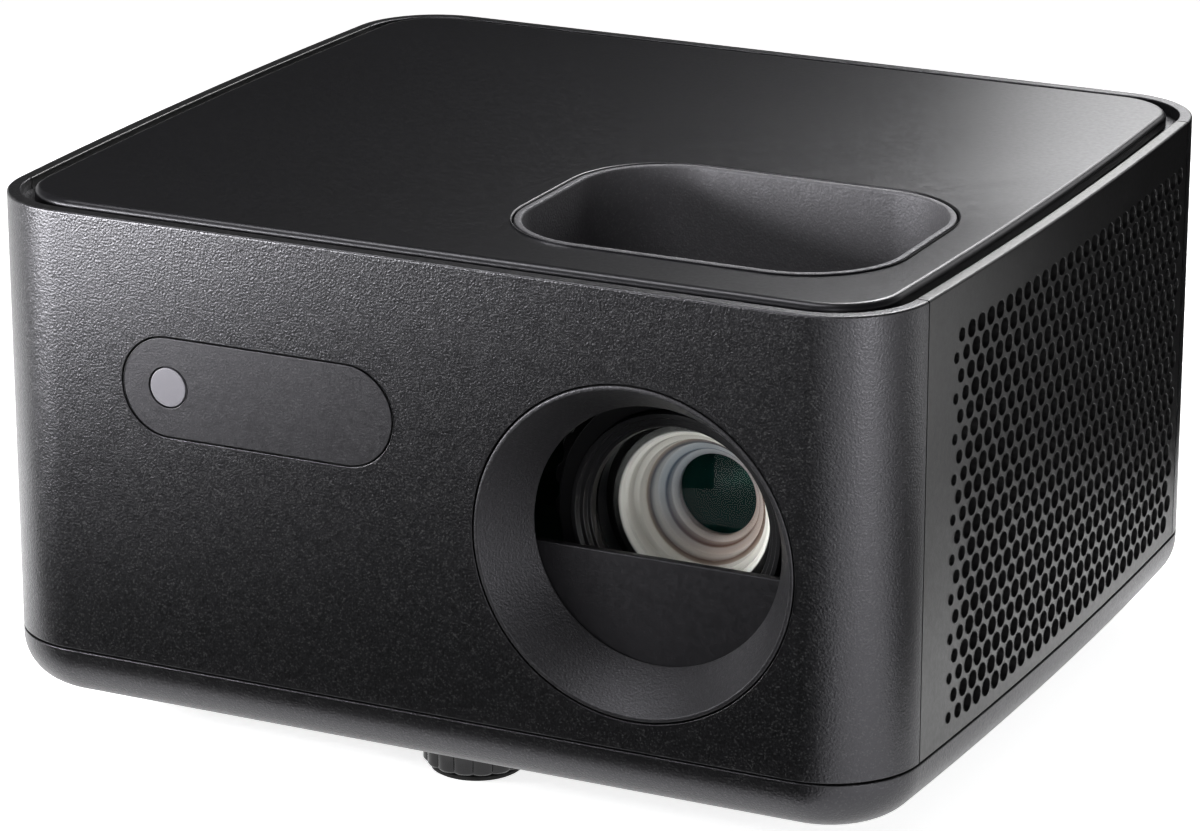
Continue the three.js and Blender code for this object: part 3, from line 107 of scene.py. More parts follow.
class Skin:
    """Points and faces of one piece."""

    def __init__(self):
        self.points = []
        self.faces = []

    def add(self, points):
        start = len(self.points)
        self.points.extend(Vector(p) for p in points)
        return list(range(start, len(self.points)))

    def band(self, near, far, closed=True):
        last = len(near) if closed else len(near) - 1
        for i in range(last):
            j = (i + 1) % len(near)
            self.faces.append((near[i], near[j], far[j], far[i]))

    def bands(self, loops, closed=True):
        for near, far in zip(loops, loops[1:]):
            self.band(near, far, closed)

    def cap(self, loop):
        self.faces.append(tuple(loop))

    def sheet(self, flat, boundary, rings, lines=()):
        """Triangles that fill a boundary around its holes. flat gives each index its place in the plane."""
        ids = list(boundary) + [i for ring in rings for i in ring]
        order = {index: k for k, index in enumerate(ids)}
        loops = [boundary] + list(rings)
        edges = [(order[a], order[b]) for loop in loops for a, b in zip(loop, loop[1:] + loop[:1])]
        edges += [(order[a], order[b]) for a, b in lines]
        owner = {index: n for n, ring in enumerate(rings) for index in ring}
        places = [Vector(flat[index]) for index in ids]
        _, _, triangles, originals, _, _ = delaunay_2d_cdt(places, edges, [], 1, 1e-6, True)
        back = [ids[o[0]] for o in originals]
        found = []
        for triangle in triangles:
            corners = [back[i] for i in triangle]
            owners = {owner.get(i) for i in corners}
            if len(owners) == 1 and None not in owners:
                continue
            found.append(tuple(corners))
        return found

    def sheets(self, flat, boundary, rings, twin, lines=()):
        """The same triangles on both faces of a wall. twin gives each outer index its inner one."""
        triangles = self.sheet(flat, boundary, rings, lines)
        self.faces.extend(triangles)
        self.faces.extend(tuple(twin[i] for i in reversed(triangle)) for triangle in triangles)


def filleted(corners, radii, steps=3):
    """A closed outline with its corners rounded, and the first and last index of each corner."""
    made, ends = [], []
    count = len(corners)
    for i, radius in enumerate(radii):
        here = Vector(corners[i])
        before = Vector(corners[i - 1]) - here
        after = Vector(corners[(i + 1) % count]) - here
        first = len(made)
        if radius <= 0:
            made.append(here)
        else:
            half = before.angle(after) / 2
            reach = radius / math.tan(half)
            middle = here + (before.normalized() + after.normalized()).normalized() * radius / math.sin(half)
            start = here + before.normalized() * reach - middle
            end = here + after.normalized() * reach - middle
            for k in range(steps + 1):
                made.append(middle + slerp(start, end, k / steps))
        ends.append((first, len(made) - 1))
    return made, ends


def slerp(start, end, share):
    angle = start.angle(end)
    return (start * math.sin((1 - share) * angle) + end * math.sin(share * angle)) / math.sin(angle)


def shrunk(outline, distance):
    """A closed outline moved inwards by a distance."""
    count = len(outline)
    area = sum(outline[i].x * outline[(i + 1) % count].y - outline[(i + 1) % count].x * outline[i].y
               for i in range(count))
    side = 1 if area > 0 else -1
    made = []
    for i, here in enumerate(outline):
        a = (here - outline[i - 1]).normalized()
        b = (outline[(i + 1) % count] - here).normalized()
        normal = Vector((-(a.y + b.y), a.x + b.x)) * side
        made.append(here + normal.normalized() * distance / max(0.5, math.sqrt((1 + a.dot(b)) / 2)))
    return made


def quarter(radius, steps):
    """(across, down) of a quarter round, from the face that it leaves to the wall below it."""
    turns = [math.pi / 2 * k / steps for k in range(steps + 1)]
    return [(radius * (1 - math.sin(turn)), radius * (1 - math.cos(turn))) for turn in turns]


def lip_round(radius):
    """(across, down) of an opening's fine lip, from the foot where the face meets it up to its crest.

    Known fault: in this order the face sinks to the lip's foot and the lip crosses it. In quarter's own
    order the opening's edge would be a plain round."""
    return quarter(radius, LIP_STEPS)[::-1]


def cleaned(skin):
    """A mesh in metres, with doubled points merged and its faces turned outwards."""
    mesh = bpy.data.meshes.new("piece")
    lift = Vector((0, 0, GROUND))
    mesh.from_pydata([(p + lift) * MM for p in skin.points], [], skin.faces)
    work = bmesh.new()
    work.from_mesh(mesh)
    bmesh.ops.remove_doubles(work, verts=work.verts, dist=1e-7)
    bmesh.ops.dissolve_degenerate(work, edges=work.edges, dist=1e-8)
    bmesh.ops.recalc_face_normals(work, faces=work.faces)
    work.to_mesh(mesh)
    work.free()
    return mesh


def piece(name, skin, finish, nodes, body="housing"):
    """A finished object that rides on a body and takes the place of the named CAD nodes."""
    mesh = cleaned(skin)
    obj = bpy.data.objects.new(name, mesh)
    bpy.context.scene.collection.objects.link(obj)
    mesh.shade_smooth()
    mesh.set_sharp_from_angle(angle=CREASE)
    weighted = obj.modifiers.new("shade", "WEIGHTED_NORMAL")
    weighted.mode = "FACE_AREA"
    weighted.weight = 50
    weighted.keep_sharp = True
    mesh.materials.append(finish)
    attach(obj, body)
    if nodes:
        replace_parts(obj, *nodes)
    return obj


# ================= Plan outline of the casing =================
# A station is (centre x, centre y, radius, angle): a place on an arc of the plan.

def arc(cx, cy, radius, start, end, steps):
    return [(cx, cy, radius, start + (end - start) * k / steps) for k in range(steps + 1)]


def mirrored(stations):
    return [(-cx, cy, radius, math.pi - angle) for cx, cy, radius, angle in reversed(stations)]


def at(station, inset, z):
    cx, cy, radius, angle = station
    return Vector((cx + (radius - inset) * math.cos(angle), cy + (radius - inset) * math.sin(angle), z))


front_corner = arc(CORNER_X, -CORNER_Y, CORNER, -math.pi / 2, -BLEND, CORNER_STEPS)
rear_corner = arc(CORNER_X, CORNER_Y, CORNER, BLEND, math.pi / 2, CORNER_STEPS)
side_line = arc(BOW_X, 0, BOW, -BLEND, BLEND, SIDE_STEPS)
right_half = front_corner + side_line[1:-1] + rear_corner
whole = right_half + mirrored(right_half)

SHELL_CORNERS = [(0, SHELL_LOW), (0, HEIGHT), (RIM, HEIGHT), (RIM, LEDGE_TOP), (LEDGE, LEDGE_TOP),
                 (LEDGE, LEDGE_LOW), (WALL, LEDGE_LOW - GUSSET), (WALL, SHELL_LOW)]
SHELL_RADII = [EDGE, RIM_EDGE, EDGE, 0, 0, 0, 0, 0]
shell_profile, shell_ends = filleted(SHELL_CORNERS, SHELL_RADII)
OUTER_LOW, OUTER_HIGH = shell_ends[0][1], shell_ends[1][0]
INNER_HIGH, INNER_LOW = shell_ends[6][0], shell_ends[7][0]


def end_stations(stations, gap):
    """Stations with a rim at both ends, each with how far its section is shrunk.

    Known fault: the end face sits EDGE inside the rim. gap + across would round the end."""
    made = []
    for side, (station, neighbour) in enumerate(((stations[0], stations[1]), (stations[-1], stations[-2]))):
        cx, cy, radius, angle = station
        turn = math.copysign(1, neighbour[3] - angle)
        pairs = [((cx, cy, radius, angle + turn * (gap + EDGE - across) / radius), down)
                 for across, down in lip_round(EDGE)]
        made.append(pairs if side == 0 else pairs[::-1])
    middle = [(station, 0.0) for station in stations[1:-1]]
    return made[0] + middle + made[1]


def shell(name, stations, gap, unroll, rings, finish, nodes, place, lip=EDGE):
    """A wall section swept along stations, with lipped openings through its wall.

    unroll gives a station's distance along the wall, place turns that distance, an inset and a
    height into a point, and rings holds functions that give an opening's outline, grown by an offset."""
    skin = Skin()
    ends = end_stations(stations, gap)
    loops = []
    for station, shrink in ends:
        section = shrunk(shell_profile, shrink) if shrink else shell_profile
        loops.append(skin.add(at(station, p.x, p.y) for p in section))
    count = len(shell_profile)
    core = range(LIP_STEPS, len(loops) - LIP_STEPS)
    for n, (near, far) in enumerate(zip(loops, loops[1:])):
        for j in range(count):
            k = (j + 1) % count
            if n in core and n + 1 in core and j in (OUTER_LOW, INNER_HIGH):
                continue
            skin.faces.append((near[j], near[k], far[k], far[j]))
    skin.cap(loops[0])
    skin.cap(loops[-1])
    flat = {loops[i][j]: (unroll(ends[i][0]), shell_profile[j].y)
            for i in core for j in (OUTER_LOW, OUTER_HIGH)}
    lower = [loops[i][OUTER_LOW] for i in core]
    upper = [loops[i][OUTER_HIGH] for i in core]
    twin = {loops[i][OUTER_LOW]: loops[i][INNER_LOW] for i in core}
    twin.update({loops[i][OUTER_HIGH]: loops[i][INNER_HIGH] for i in core})
    outer_rings = []
    for ring in rings:
        steps = [skin.add(place(s, down, z) for s, z in ring(across)) for across, down in lip_round(lip)]
        inner = skin.add(place(s, WALL, z) for s, z in ring(0))
        flat.update(zip(steps[0], ring(lip)))
        twin.update(zip(steps[0], inner))
        skin.bands(steps + [inner])
        outer_rings.append(steps[0])
    lines = [(a, b) for a, b in zip(lower, upper) if clear(flat[a][0], rings)]
    skin.sheets(flat, lower + upper[::-1], outer_rings, twin, lines)
    return piece(name, skin, finish, nodes)


def clear(s, rings, room=0.1):
    """True where an upright line at this distance meets no opening."""
    for ring in rings:
        reach = [point[0] for point in ring(EDGE)]
        if min(reach) - room < s < max(reach) + room:
            return False
    return True


def circle_ring(x, z, radius, steps):
    return lambda grow: [(x + (radius + grow) * math.cos(2 * math.pi * k / steps),
                          z + (radius + grow) * math.sin(2 * math.pi * k / steps)) for k in range(steps)]


def box_ring(x, z, width, height, radius, steps):
    """A rounded rectangle as an opening; a radius of half the height makes it a stadium."""
    def ring(grow):
        made = []
        for turn, (sx, sz) in enumerate(((1, 1), (-1, 1), (-1, -1), (1, -1))):
            for k in range(steps + 1):
                angle = math.pi / 2 * (turn + k / steps)
                made.append((x + sx * (width / 2 - radius) + (radius + grow) * math.cos(angle),
                             z + sz * (height / 2 - radius) + (radius + grow) * math.sin(angle)))
        return made
    return ring


def merged_twins(ring):
    """The same outline without points that fall together, as where a stadium has no straight end."""
    def single(grow):
        points = ring(grow)
        return [p for k, p in enumerate(points) if math.dist(p, points[k - 1]) > 1e-6]
    return single


# ================= Materials =================
BLOTCH_SIZE = 38
SMEAR_SIZE = 1.1
SMEAR = 0.12
FLAKE_SIZE = 0.3
FLAKE_START = 0.8
RELIEF_DEPTH = 0.25
# A colour Mix node's two inputs and its output, by number.
MIX_A, MIX_B, MIX_RESULT = 6, 7, 2


def new_finish(name, roughness=0.5):
    """A material, its node tree and its shader."""
    made = bpy.data.materials.new(name)
    made.use_nodes = True
    shader = made.node_tree.nodes["Principled BSDF"]
    shader.inputs["Roughness"].default_value = roughness
    return made, made.node_tree, shader


def noise(tree, where, size, detail=2.0):
    node = tree.nodes.new("ShaderNodeTexNoise")
    node.inputs["Scale"].default_value = 1 / (size * MM)
    node.inputs["Detail"].default_value = detail
    tree.links.new(where, node.inputs["Vector"])
    return node.outputs["Fac"]


def spread(tree, source, low, high, start=0.3, end=0.7):
    """The source's range from start to end, turned into low to high."""
    node = tree.nodes.new("ShaderNodeMapRange")
    node.inputs["From Min"].default_value = start
    node.inputs["From Max"].default_value = end
    node.inputs["To Min"].default_value = low
    node.inputs["To Max"].default_value = high
    tree.links.new(source, node.inputs["Value"])
    return node.outputs["Result"]


def relief(tree, height, strength, depth, normal=None):
    node = tree.nodes.new("ShaderNodeBump")
    node.inputs["Strength"].default_value = strength
    node.inputs["Distance"].default_value = depth * MM
    tree.links.new(height, node.inputs["Height"])
    if normal is not None:
        tree.links.new(normal, node.inputs["Normal"])
    return node.outputs["Normal"]


def mix(tree, blend, factor, first, second):
    """A colour mix whose parts are sockets or plain colours."""
    node = tree.nodes.new("ShaderNodeMix")
    node.data_type = "RGBA"
    node.blend_type = blend
    for place, part in (("Factor", factor), (MIX_A, first), (MIX_B, second)):
        if isinstance(part, (float, tuple)):
            node.inputs[place].default_value = (*part, 1) if isinstance(part, tuple) else part
        else:
            tree.links.new(part, node.inputs[place])
    return node.outputs[MIX_RESULT]


def material(name, base, roughness, metallic=0.0, specular=0.5, grains=(), blotch=0.0, speck=0.0,
             specular_tint=(1, 1, 1), transmission=0.0, ior=1.5):
    """A procedural finish. grains are (millimetres, strength, detail) layers of relief, blotch is how
    much the tone wanders, and speck is how far single flakes are brighter."""
    made, tree, shader = new_finish(name)
    shader.inputs["Metallic"].default_value = metallic
    shader.inputs["Specular IOR Level"].default_value = specular
    shader.inputs["Specular Tint"].default_value = (*specular_tint, 1)
    shader.inputs["Transmission Weight"].default_value = transmission
    shader.inputs["IOR"].default_value = ior
    where = tree.nodes.new("ShaderNodeTexCoord").outputs["Object"]
    tone = spread(tree, noise(tree, where, BLOTCH_SIZE, 3), 1 - blotch, 1 + blotch)
    colour = mix(tree, "MULTIPLY", 1.0, base, tone)
    if speck:
        flakes = tree.nodes.new("ShaderNodeTexVoronoi")
        flakes.inputs["Scale"].default_value = 1 / (FLAKE_SIZE * MM)
        tree.links.new(where, flakes.inputs["Vector"])
        bright = tree.nodes.new("ShaderNodeSeparateColor")
        tree.links.new(flakes.outputs["Color"], bright.inputs["Color"])
        lit = spread(tree, bright.outputs["Red"], 0.0, speck, FLAKE_START, 1.0)
        colour = mix(tree, "ADD", 1.0, colour, lit)
    tree.links.new(colour, shader.inputs["Base Color"])
    smears = noise(tree, where, SMEAR_SIZE, 4)
    rough = spread(tree, smears, roughness * (1 - SMEAR), roughness * (1 + SMEAR))
    tree.links.new(rough, shader.inputs["Roughness"])
    normal = None
    for size, strength, detail in grains:
        normal = relief(tree, noise(tree, where, size, detail), strength, size * RELIEF_DEPTH, normal)
    if normal is not None:
        tree.links.new(normal, shader.inputs["Normal"])
    return made


COOL = (0.94, 0.925, 1.0)
casing = material("casing_spark", (0.0050, 0.0050, 0.0054), 0.32, specular=0.66, specular_tint=COOL,
                  blotch=0.12, speck=0.03, grains=((0.5, 0.9, 3),))
# The cone's copy of the spark finish has a lighter base than the casing's: painted light on the lens cone.
cone_spark_painted_light = material("cone_spark_painted_light", (0.0085, 0.0083, 0.0090), 0.46, specular=0.66, specular_tint=COOL,
                      blotch=0.12, speck=0.02, grains=((0.5, 0.9, 3),))
# The pocket cup's copy of the spark finish is several times lighter than the casing's: painted light on the
# pocket's walls.
cup_spark_painted_light = material("cup_spark_painted_light", (0.036, 0.0350, 0.0370), 0.60, specular=1.0, specular_tint=COOL,
                     blotch=0.12, speck=0.03, grains=((0.5, 0.9, 3),))
shelf_satin = material("shelf_satin", (0.0068, 0.0065, 0.0074), 0.46, specular=0.60, specular_tint=COOL,
                       blotch=0.10, grains=((0.5, 0.25, 2), (2.4, 0.05, 2)))
side_satin = material("side_satin", (0.0050, 0.0048, 0.0052), 0.36, specular=0.70,
                      blotch=0.10, grains=((0.4, 0.22, 2), (2.4, 0.05, 2)))
top_satin = material("top_satin", (0.0035, 0.0035, 0.0042), 0.32, specular=0.45, specular_tint=COOL,
                     blotch=0.08, grains=((0.35, 0.06, 2),))
window_satin = material("window_satin", (0.0080, 0.0077, 0.0086), 0.44, specular=0.54, specular_tint=COOL,
                        blotch=0.06, speck=0.016, grains=((0.45, 0.4, 2),))
diffuser = material("sensor_diffuser", (0.12, 0.116, 0.132), 0.45, blotch=0.04, grains=((0.4, 0.05, 1),))
gloss = material("gloss_black", (0.008, 0.008, 0.010), 0.16, blotch=0.1, grains=((6, 0.03, 1),))
rubber = material("foot_rubber", (0.012, 0.012, 0.012), 0.75, specular=0.3, blotch=0.2,
                  grains=((0.8, 0.4, 3),))
anodised = material("lens_anodised", (0.010, 0.010, 0.011), 0.34, specular=0.6, blotch=0.1,
                    grains=((0.3, 0.05, 2),))
cast = material("cast_metal", (0.30, 0.30, 0.32), 0.5, metallic=0.8, blotch=0.1, grains=((1.2, 0.3, 3),))
brass = material("brass_insert", (0.55, 0.38, 0.14), 0.35, metallic=1.0, blotch=0.1, grains=((0.6, 0.1, 2),))
board = material("circuit_board", (0.010, 0.07, 0.035), 0.45, blotch=0.2, grains=((1.4, 0.15, 2),))
moulded = material("inner_plastic", (0.020, 0.020, 0.022), 0.55, blotch=0.15, grains=((0.7, 0.2, 2),))
plated = material("socket_metal", (0.50, 0.50, 0.52), 0.3, metallic=1.0, blotch=0.08,
                  grains=((0.5, 0.06, 1),))
# The low refractive index stands in for the glass's anti-reflection coating.
clear_glass = material("front_glass_clear", (0.98, 0.99, 0.98), 0.012, blotch=0.01, transmission=1.0,
                       ior=1.18)
coated = material("coated_pupil", (0.002, 0.017, 0.015), 0.08, specular=0.10,
                  specular_tint=(0.2, 0.85, 0.65))

# Colours of the lens cell's turned rings, by their distance from the lens axis in millimetres.
CELL_RINGS = ((8.6, (0.30, 0.29, 0.27)), (10.2, (0.86, 0.84, 0.80)), (10.8, (0.05, 0.04, 0.04)),
              (11.2, (0.62, 0.62, 0.60)), (12.7, (0.80, 0.78, 0.74)), (13.1, (0.06, 0.045, 0.04)),
              (13.9, (0.30, 0.24, 0.20)), (14.3, (0.85, 0.83, 0.78)), (15.9, (0.62, 0.60, 0.56)),
              (16.3, (0.88, 0.86, 0.81)), (17.3, (0.94, 0.93, 0.90)), (17.7, (0.010, 0.010, 0.010)))
CELL_REACH = 20
# The coating's painted reflection leans from blue to brown across the lens, and fades out towards its reach
# from the lens axis.
PAINTED_REFLECTION_BLUE = (0.16, 0.26, 0.40)
PAINTED_REFLECTION_BROWN = (0.34, 0.15, 0.09)
PAINTED_REFLECTION_LEAN = (0.7, 0, -0.7)
PAINTED_REFLECTION_HALF = 10
PAINTED_REFLECTION_REACH = 14.0
PAINTED_REFLECTION_FADE = 2
PAINTED_REFLECTION_SHARE = 0.45


def ringed_material(name, roughness):
    """Turned rings whose colours go by their distance from the lens axis, with a painted reflection of the
    coating's blue and brown laid over the inner ones."""
    made, tree, shader = new_finish(name, roughness)
    nodes, links = tree.nodes, tree.links
    axis = nodes.new("ShaderNodeMapping")
    axis.inputs["Location"].default_value = (-LENS_X * MM, 0, -(LENS_Z + GROUND) * MM)
    axis.inputs["Scale"].default_value = (1, 0, 1)
    links.new(nodes.new("ShaderNodeTexCoord").outputs["Object"], axis.inputs["Vector"])
    place = axis.outputs["Vector"]
    length = nodes.new("ShaderNodeVectorMath")
    length.operation = "LENGTH"
    links.new(place, length.inputs[0])
    radius = length.outputs["Value"]
    share = nodes.new("ShaderNodeMath")
    share.operation = "MULTIPLY"
    share.inputs[1].default_value = 1 / (CELL_REACH * MM)
    links.new(radius, share.inputs[0])
    ramp = nodes.new("ShaderNodeValToRGB")
    links.new(share.outputs[0], ramp.inputs["Fac"])
    stops = ramp.color_ramp.elements
    for k, (reach, colour) in enumerate(CELL_RINGS):
        stop = stops[k] if k < 2 else stops.new(reach / CELL_REACH)
        stop.position = reach / CELL_REACH
        stop.color = (*colour, 1)
    lean = nodes.new("ShaderNodeVectorMath")
    lean.operation = "DOT_PRODUCT"
    lean.inputs[1].default_value = PAINTED_REFLECTION_LEAN
    links.new(place, lean.inputs[0])
    side = spread(tree, lean.outputs["Value"], 0.0, 1.0, -PAINTED_REFLECTION_HALF * MM, PAINTED_REFLECTION_HALF * MM)
    near = spread(tree, radius, 0.0, PAINTED_REFLECTION_SHARE, PAINTED_REFLECTION_REACH * MM, (PAINTED_REFLECTION_REACH - PAINTED_REFLECTION_FADE) * MM)
    # Painted reflection: the coating's blue and brown, laid over the inner rings.
    painted_reflection = mix(tree, "MIX", side, PAINTED_REFLECTION_BLUE, PAINTED_REFLECTION_BROWN)
    links.new(mix(tree, "MIX", near, ramp.outputs["Color"], painted_reflection), shader.inputs["Base Color"])
    links.new(relief(tree, noise(tree, place, 0.5), 0.04, 0.1), shader.inputs["Normal"])
    return made


ringed = ringed_material("lens_cell_rings_and_painted_reflection", 0.26)


# ================= Casing =================

def unroll_to(middle):
    """A function for a station's distance along the wall from the direction at its middle."""
    def unroll(station):
        cx, cy, radius, angle = station
        return math.copysign(abs(cx) + radius * abs(math.remainder(angle - middle, 2 * math.pi)), cx)
    return unroll


def front_place(s, inset, z):
    side = math.copysign(1, s)
    beyond = max(0.0, abs(s) - CORNER_X) / CORNER
    reach = CORNER - inset
    x = min(abs(s), CORNER_X) + reach * math.sin(beyond)
    return Vector((side * x, -CORNER_Y - reach * math.cos(beyond), z))


def rear_place(s, inset, z):
    point = front_place(s, inset, z)
    return Vector((point.x, -point.y, point.z))


WINDOW_LOW, WINDOW_HIGH = span("sensor_window")
WINDOW = (WINDOW_LOW + WINDOW_HIGH) / 2
WINDOW_LENGTH = WINDOW_HIGH.x - WINDOW_LOW.x + 2 * SEAM
WINDOW_HEIGHT = WINDOW_HIGH.z - WINDOW_LOW.z + 2 * SEAM
WINDOW_STEPS = 20
OPENING = 37.1
lens_ring = circle_ring(LENS_X, LENS_Z, OPENING, ROUND)
window_ring = merged_twins(box_ring(WINDOW.x, WINDOW.z, WINDOW_LENGTH, WINDOW_HEIGHT, WINDOW_HEIGHT / 2,
                                    WINDOW_STEPS))

# The first steps of the right corner are merged, so that no upright line crosses the lens opening.
right_front = [front_corner[0]] + front_corner[2:]
front_stations = mirrored(front_corner) + right_front
shell("front_cover", front_stations, 0.0, unroll_to(-math.pi / 2), [lens_ring, window_ring], casing,
      ["front_shell"], front_place, SEAM_LIP)

PORTS_LOW, PORTS_HIGH = span("port_plate")
BAY = (PORTS_LOW + PORTS_HIGH) / 2
BAY_WIDTH = PORTS_HIGH.x - PORTS_LOW.x - 2 * WALL
BAY_HEIGHT = PORTS_HIGH.z - PORTS_LOW.z - 2 * WALL
BAY_ROUND = 5.0
BAY_STEPS = 8
bay_ring = box_ring(BAY.x, BAY.z, BAY_WIDTH, BAY_HEIGHT, BAY_ROUND, BAY_STEPS)
shell("rear_cover", rear_corner + mirrored(rear_corner), 0.0, unroll_to(math.pi / 2), [bay_ring], casing,
      ["rear_panel"], rear_place)

# ---- Perforated sides ----
# Rows of holes run from front to rear, and the first holes of each row grow to the full radius.
HOLE_PITCH = 5.0
ROW_PITCH = 4.42
FIRST_ROW = 18.0
ROWS = 20
FIRST_HOLE_Y = -64.0
LAST_HOLE_Y = 74.0
HOLE_GROWTH = (1.2, 1.5, 1.6, 1.95)
HOLE_RADIUS = 2.0
HOLE_STEPS = 16
HOLE_LIP = 0.1


def grille_rings():
    rings = []
    columns = int((LAST_HOLE_Y - FIRST_HOLE_Y) / (HOLE_PITCH / 2))
    for row in range(ROWS):
        for column in range(row % 2, columns + 1, 2):
            radius = HOLE_GROWTH[column] if column < len(HOLE_GROWTH) else HOLE_RADIUS
            along = BOW * math.asin((FIRST_HOLE_Y + column * HOLE_PITCH / 2) / BOW)
            rings.append(circle_ring(along, FIRST_ROW + ROW_PITCH * row, radius, HOLE_STEPS))
    return rings


def side_place(s, inset, z):
    return at((BOW_X, 0, BOW, s / BOW), inset, z)


def side_unroll(station):
    return BOW * station[3]


right_panel = shell("right_grille", side_line, SEAM, side_unroll, grille_rings(), side_satin,
                    ["right_side_panel"], side_place, HOLE_LIP)
left_mesh = right_panel.data.copy()
left_mesh.transform(Matrix.Scale(-1, 4, (1, 0, 0)))
left_mesh.flip_normals()
left_panel = bpy.data.objects.new("left_grille", left_mesh)
bpy.context.scene.collection.objects.link(left_panel)
left_panel.modifiers.new("shade", "WEIGHTED_NORMAL").keep_sharp = True
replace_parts(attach(left_panel, "housing"), "left_side_panel")


# ---- Tray ----
def outline(inset, z):
    return [at(station, inset, z) for station in whole]


def hole_loop(x, y, radius, z, steps=48):
    turns = [2 * math.pi * k / steps for k in range(steps)]
    return [Vector((x + radius * math.cos(turn), y + radius * math.sin(turn), z)) for turn in turns]


def plan(skin, indices):
    """Each index's place seen from above."""
    return {i: (skin.points[i].x, skin.points[i].y) for i in indices}


TRAY_TOP = SHELL_LOW - SEAM
TRAY_ROUND = 11.0
TRAY_FLOOR = 2.4
TONGUE = 1.5
TONGUE_IN = WALL + FIT + TONGUE
TONGUE_TOP = span("bottom_tray")[1].z
FOOT = centre("foot_insert")
FOOT_HOLE = 6.6
INSERTS = [centre(f"ceiling_insert_{i}") for i in (1, 2, 3, 4)]
INSERT_HOLE = 3.9


def tray():
    """A tray with a large round under its edge, a tongue that stands inside the shells, and its holes."""
    skin = Skin()
    under = quarter(TRAY_ROUND, 14)
    turns = [math.pi / 2 * k / 3 for k in range(4)]
    rounded = [(EDGE * (1 - math.cos(turn)), TRAY_TOP - EDGE * (1 - math.sin(turn))) for turn in turns]
    tongue = [(WALL + FIT, TRAY_TOP), (WALL + FIT, TONGUE_TOP), (TONGUE_IN, TONGUE_TOP)]
    inner = [(TONGUE_IN + a, TRAY_FLOOR + d) for a, d in quarter(TRAY_ROUND - TONGUE_IN, 6)][::-1]
    loops = [skin.add(outline(inset, z)) for inset, z in under + rounded + tongue + inner]
    skin.bands(loops)
    flat = plan(skin, loops[0])
    rings, twin = [], dict(zip(loops[0], loops[-1]))
    holes = [(FOOT.x, FOOT.y, FOOT_HOLE)] + [(p.x, p.y, INSERT_HOLE) for p in INSERTS]
    for x, y, radius in holes:
        low = skin.add(hole_loop(x, y, radius + EDGE, 0))
        mid = skin.add(hole_loop(x, y, radius, EDGE))
        high = skin.add(hole_loop(x, y, radius, TRAY_FLOOR))
        skin.bands([low, mid, high])
        flat.update(plan(skin, low))
        rings.append(low)
        twin.update(zip(low, high))
    skin.sheets(flat, loops[0], rings, twin)
    return skin


piece("tray", tray(), casing, ["bottom_tray"])

# ---- Top plate and the pocket in it ----
CUP_WALL = 1.6
CUP_FLOOR = LENS_Z + 30.5
CUP_DRAFT = 1.5
CUP_ROUND = 2.0
CUP_FLANGE = 4.0
FLANGE_TOP = PLATE_LOW - FIT
POCKET = centre("pocket_liner")
POCKET_LOW, POCKET_HIGH = span("pocket_liner")
POCKET_WIDTH = POCKET_HIGH.x - POCKET_LOW.x - 2 * CUP_FLANGE
POCKET_LENGTH = POCKET_HIGH.y - POCKET_LOW.y - 2 * CUP_FLANGE
POCKET_ROUND = 23.0
PLATE_IN = RIM + GROOVE
PLATE_ROUND = 1.6
PLATE_LIP = 0.4
# Depths of the two grip rings behind the front face, and their widths.
FOCUS_FRONT, FOCUS_WIDTH = 30, 14
ZOOM_FRONT, ZOOM_WIDTH = 49.4, 12
SLOT_HALF = 16.1
SLOT_ROOM = 1.2
SLOT_ROUND = 2.0
SLOT_FRONT = FRONT_Y + FOCUS_FRONT - SLOT_ROOM
SLOT_REAR = FRONT_Y + ZOOM_FRONT + ZOOM_WIDTH + SLOT_ROOM


def pocket_loop(inset, z, steps=20):
    ring = box_ring(POCKET.x, POCKET.y, POCKET_WIDTH, POCKET_LENGTH, POCKET_ROUND, steps)(-inset)
    return [Vector((x, y, z)) for x, y in ring]


def top_plate():
    """The plate on top, with a rounded outer edge and a lip around the pocket's opening."""
    skin = Skin()
    rounded = [(PLATE_IN + a, PLATE_TOP - d) for a, d in quarter(PLATE_ROUND, 8)][::-1]
    loops = [skin.add(outline(inset, z)) for inset, z in [(PLATE_IN, PLATE_LOW)] + rounded]
    skin.bands(loops)
    top, bottom = loops[-1], loops[0]
    lips = [skin.add(pocket_loop(-across, PLATE_TOP - down)) for across, down in lip_round(PLATE_LIP)]
    low = skin.add(pocket_loop(0, PLATE_LOW))
    skin.bands(lips + [low])
    flat = plan(skin, top + lips[0])
    skin.sheets(flat, top, [lips[0]], {**dict(zip(top, bottom)), **dict(zip(lips[0], low))})
    return skin


piece("top_plate", top_plate(), top_satin, ["top_panel"])


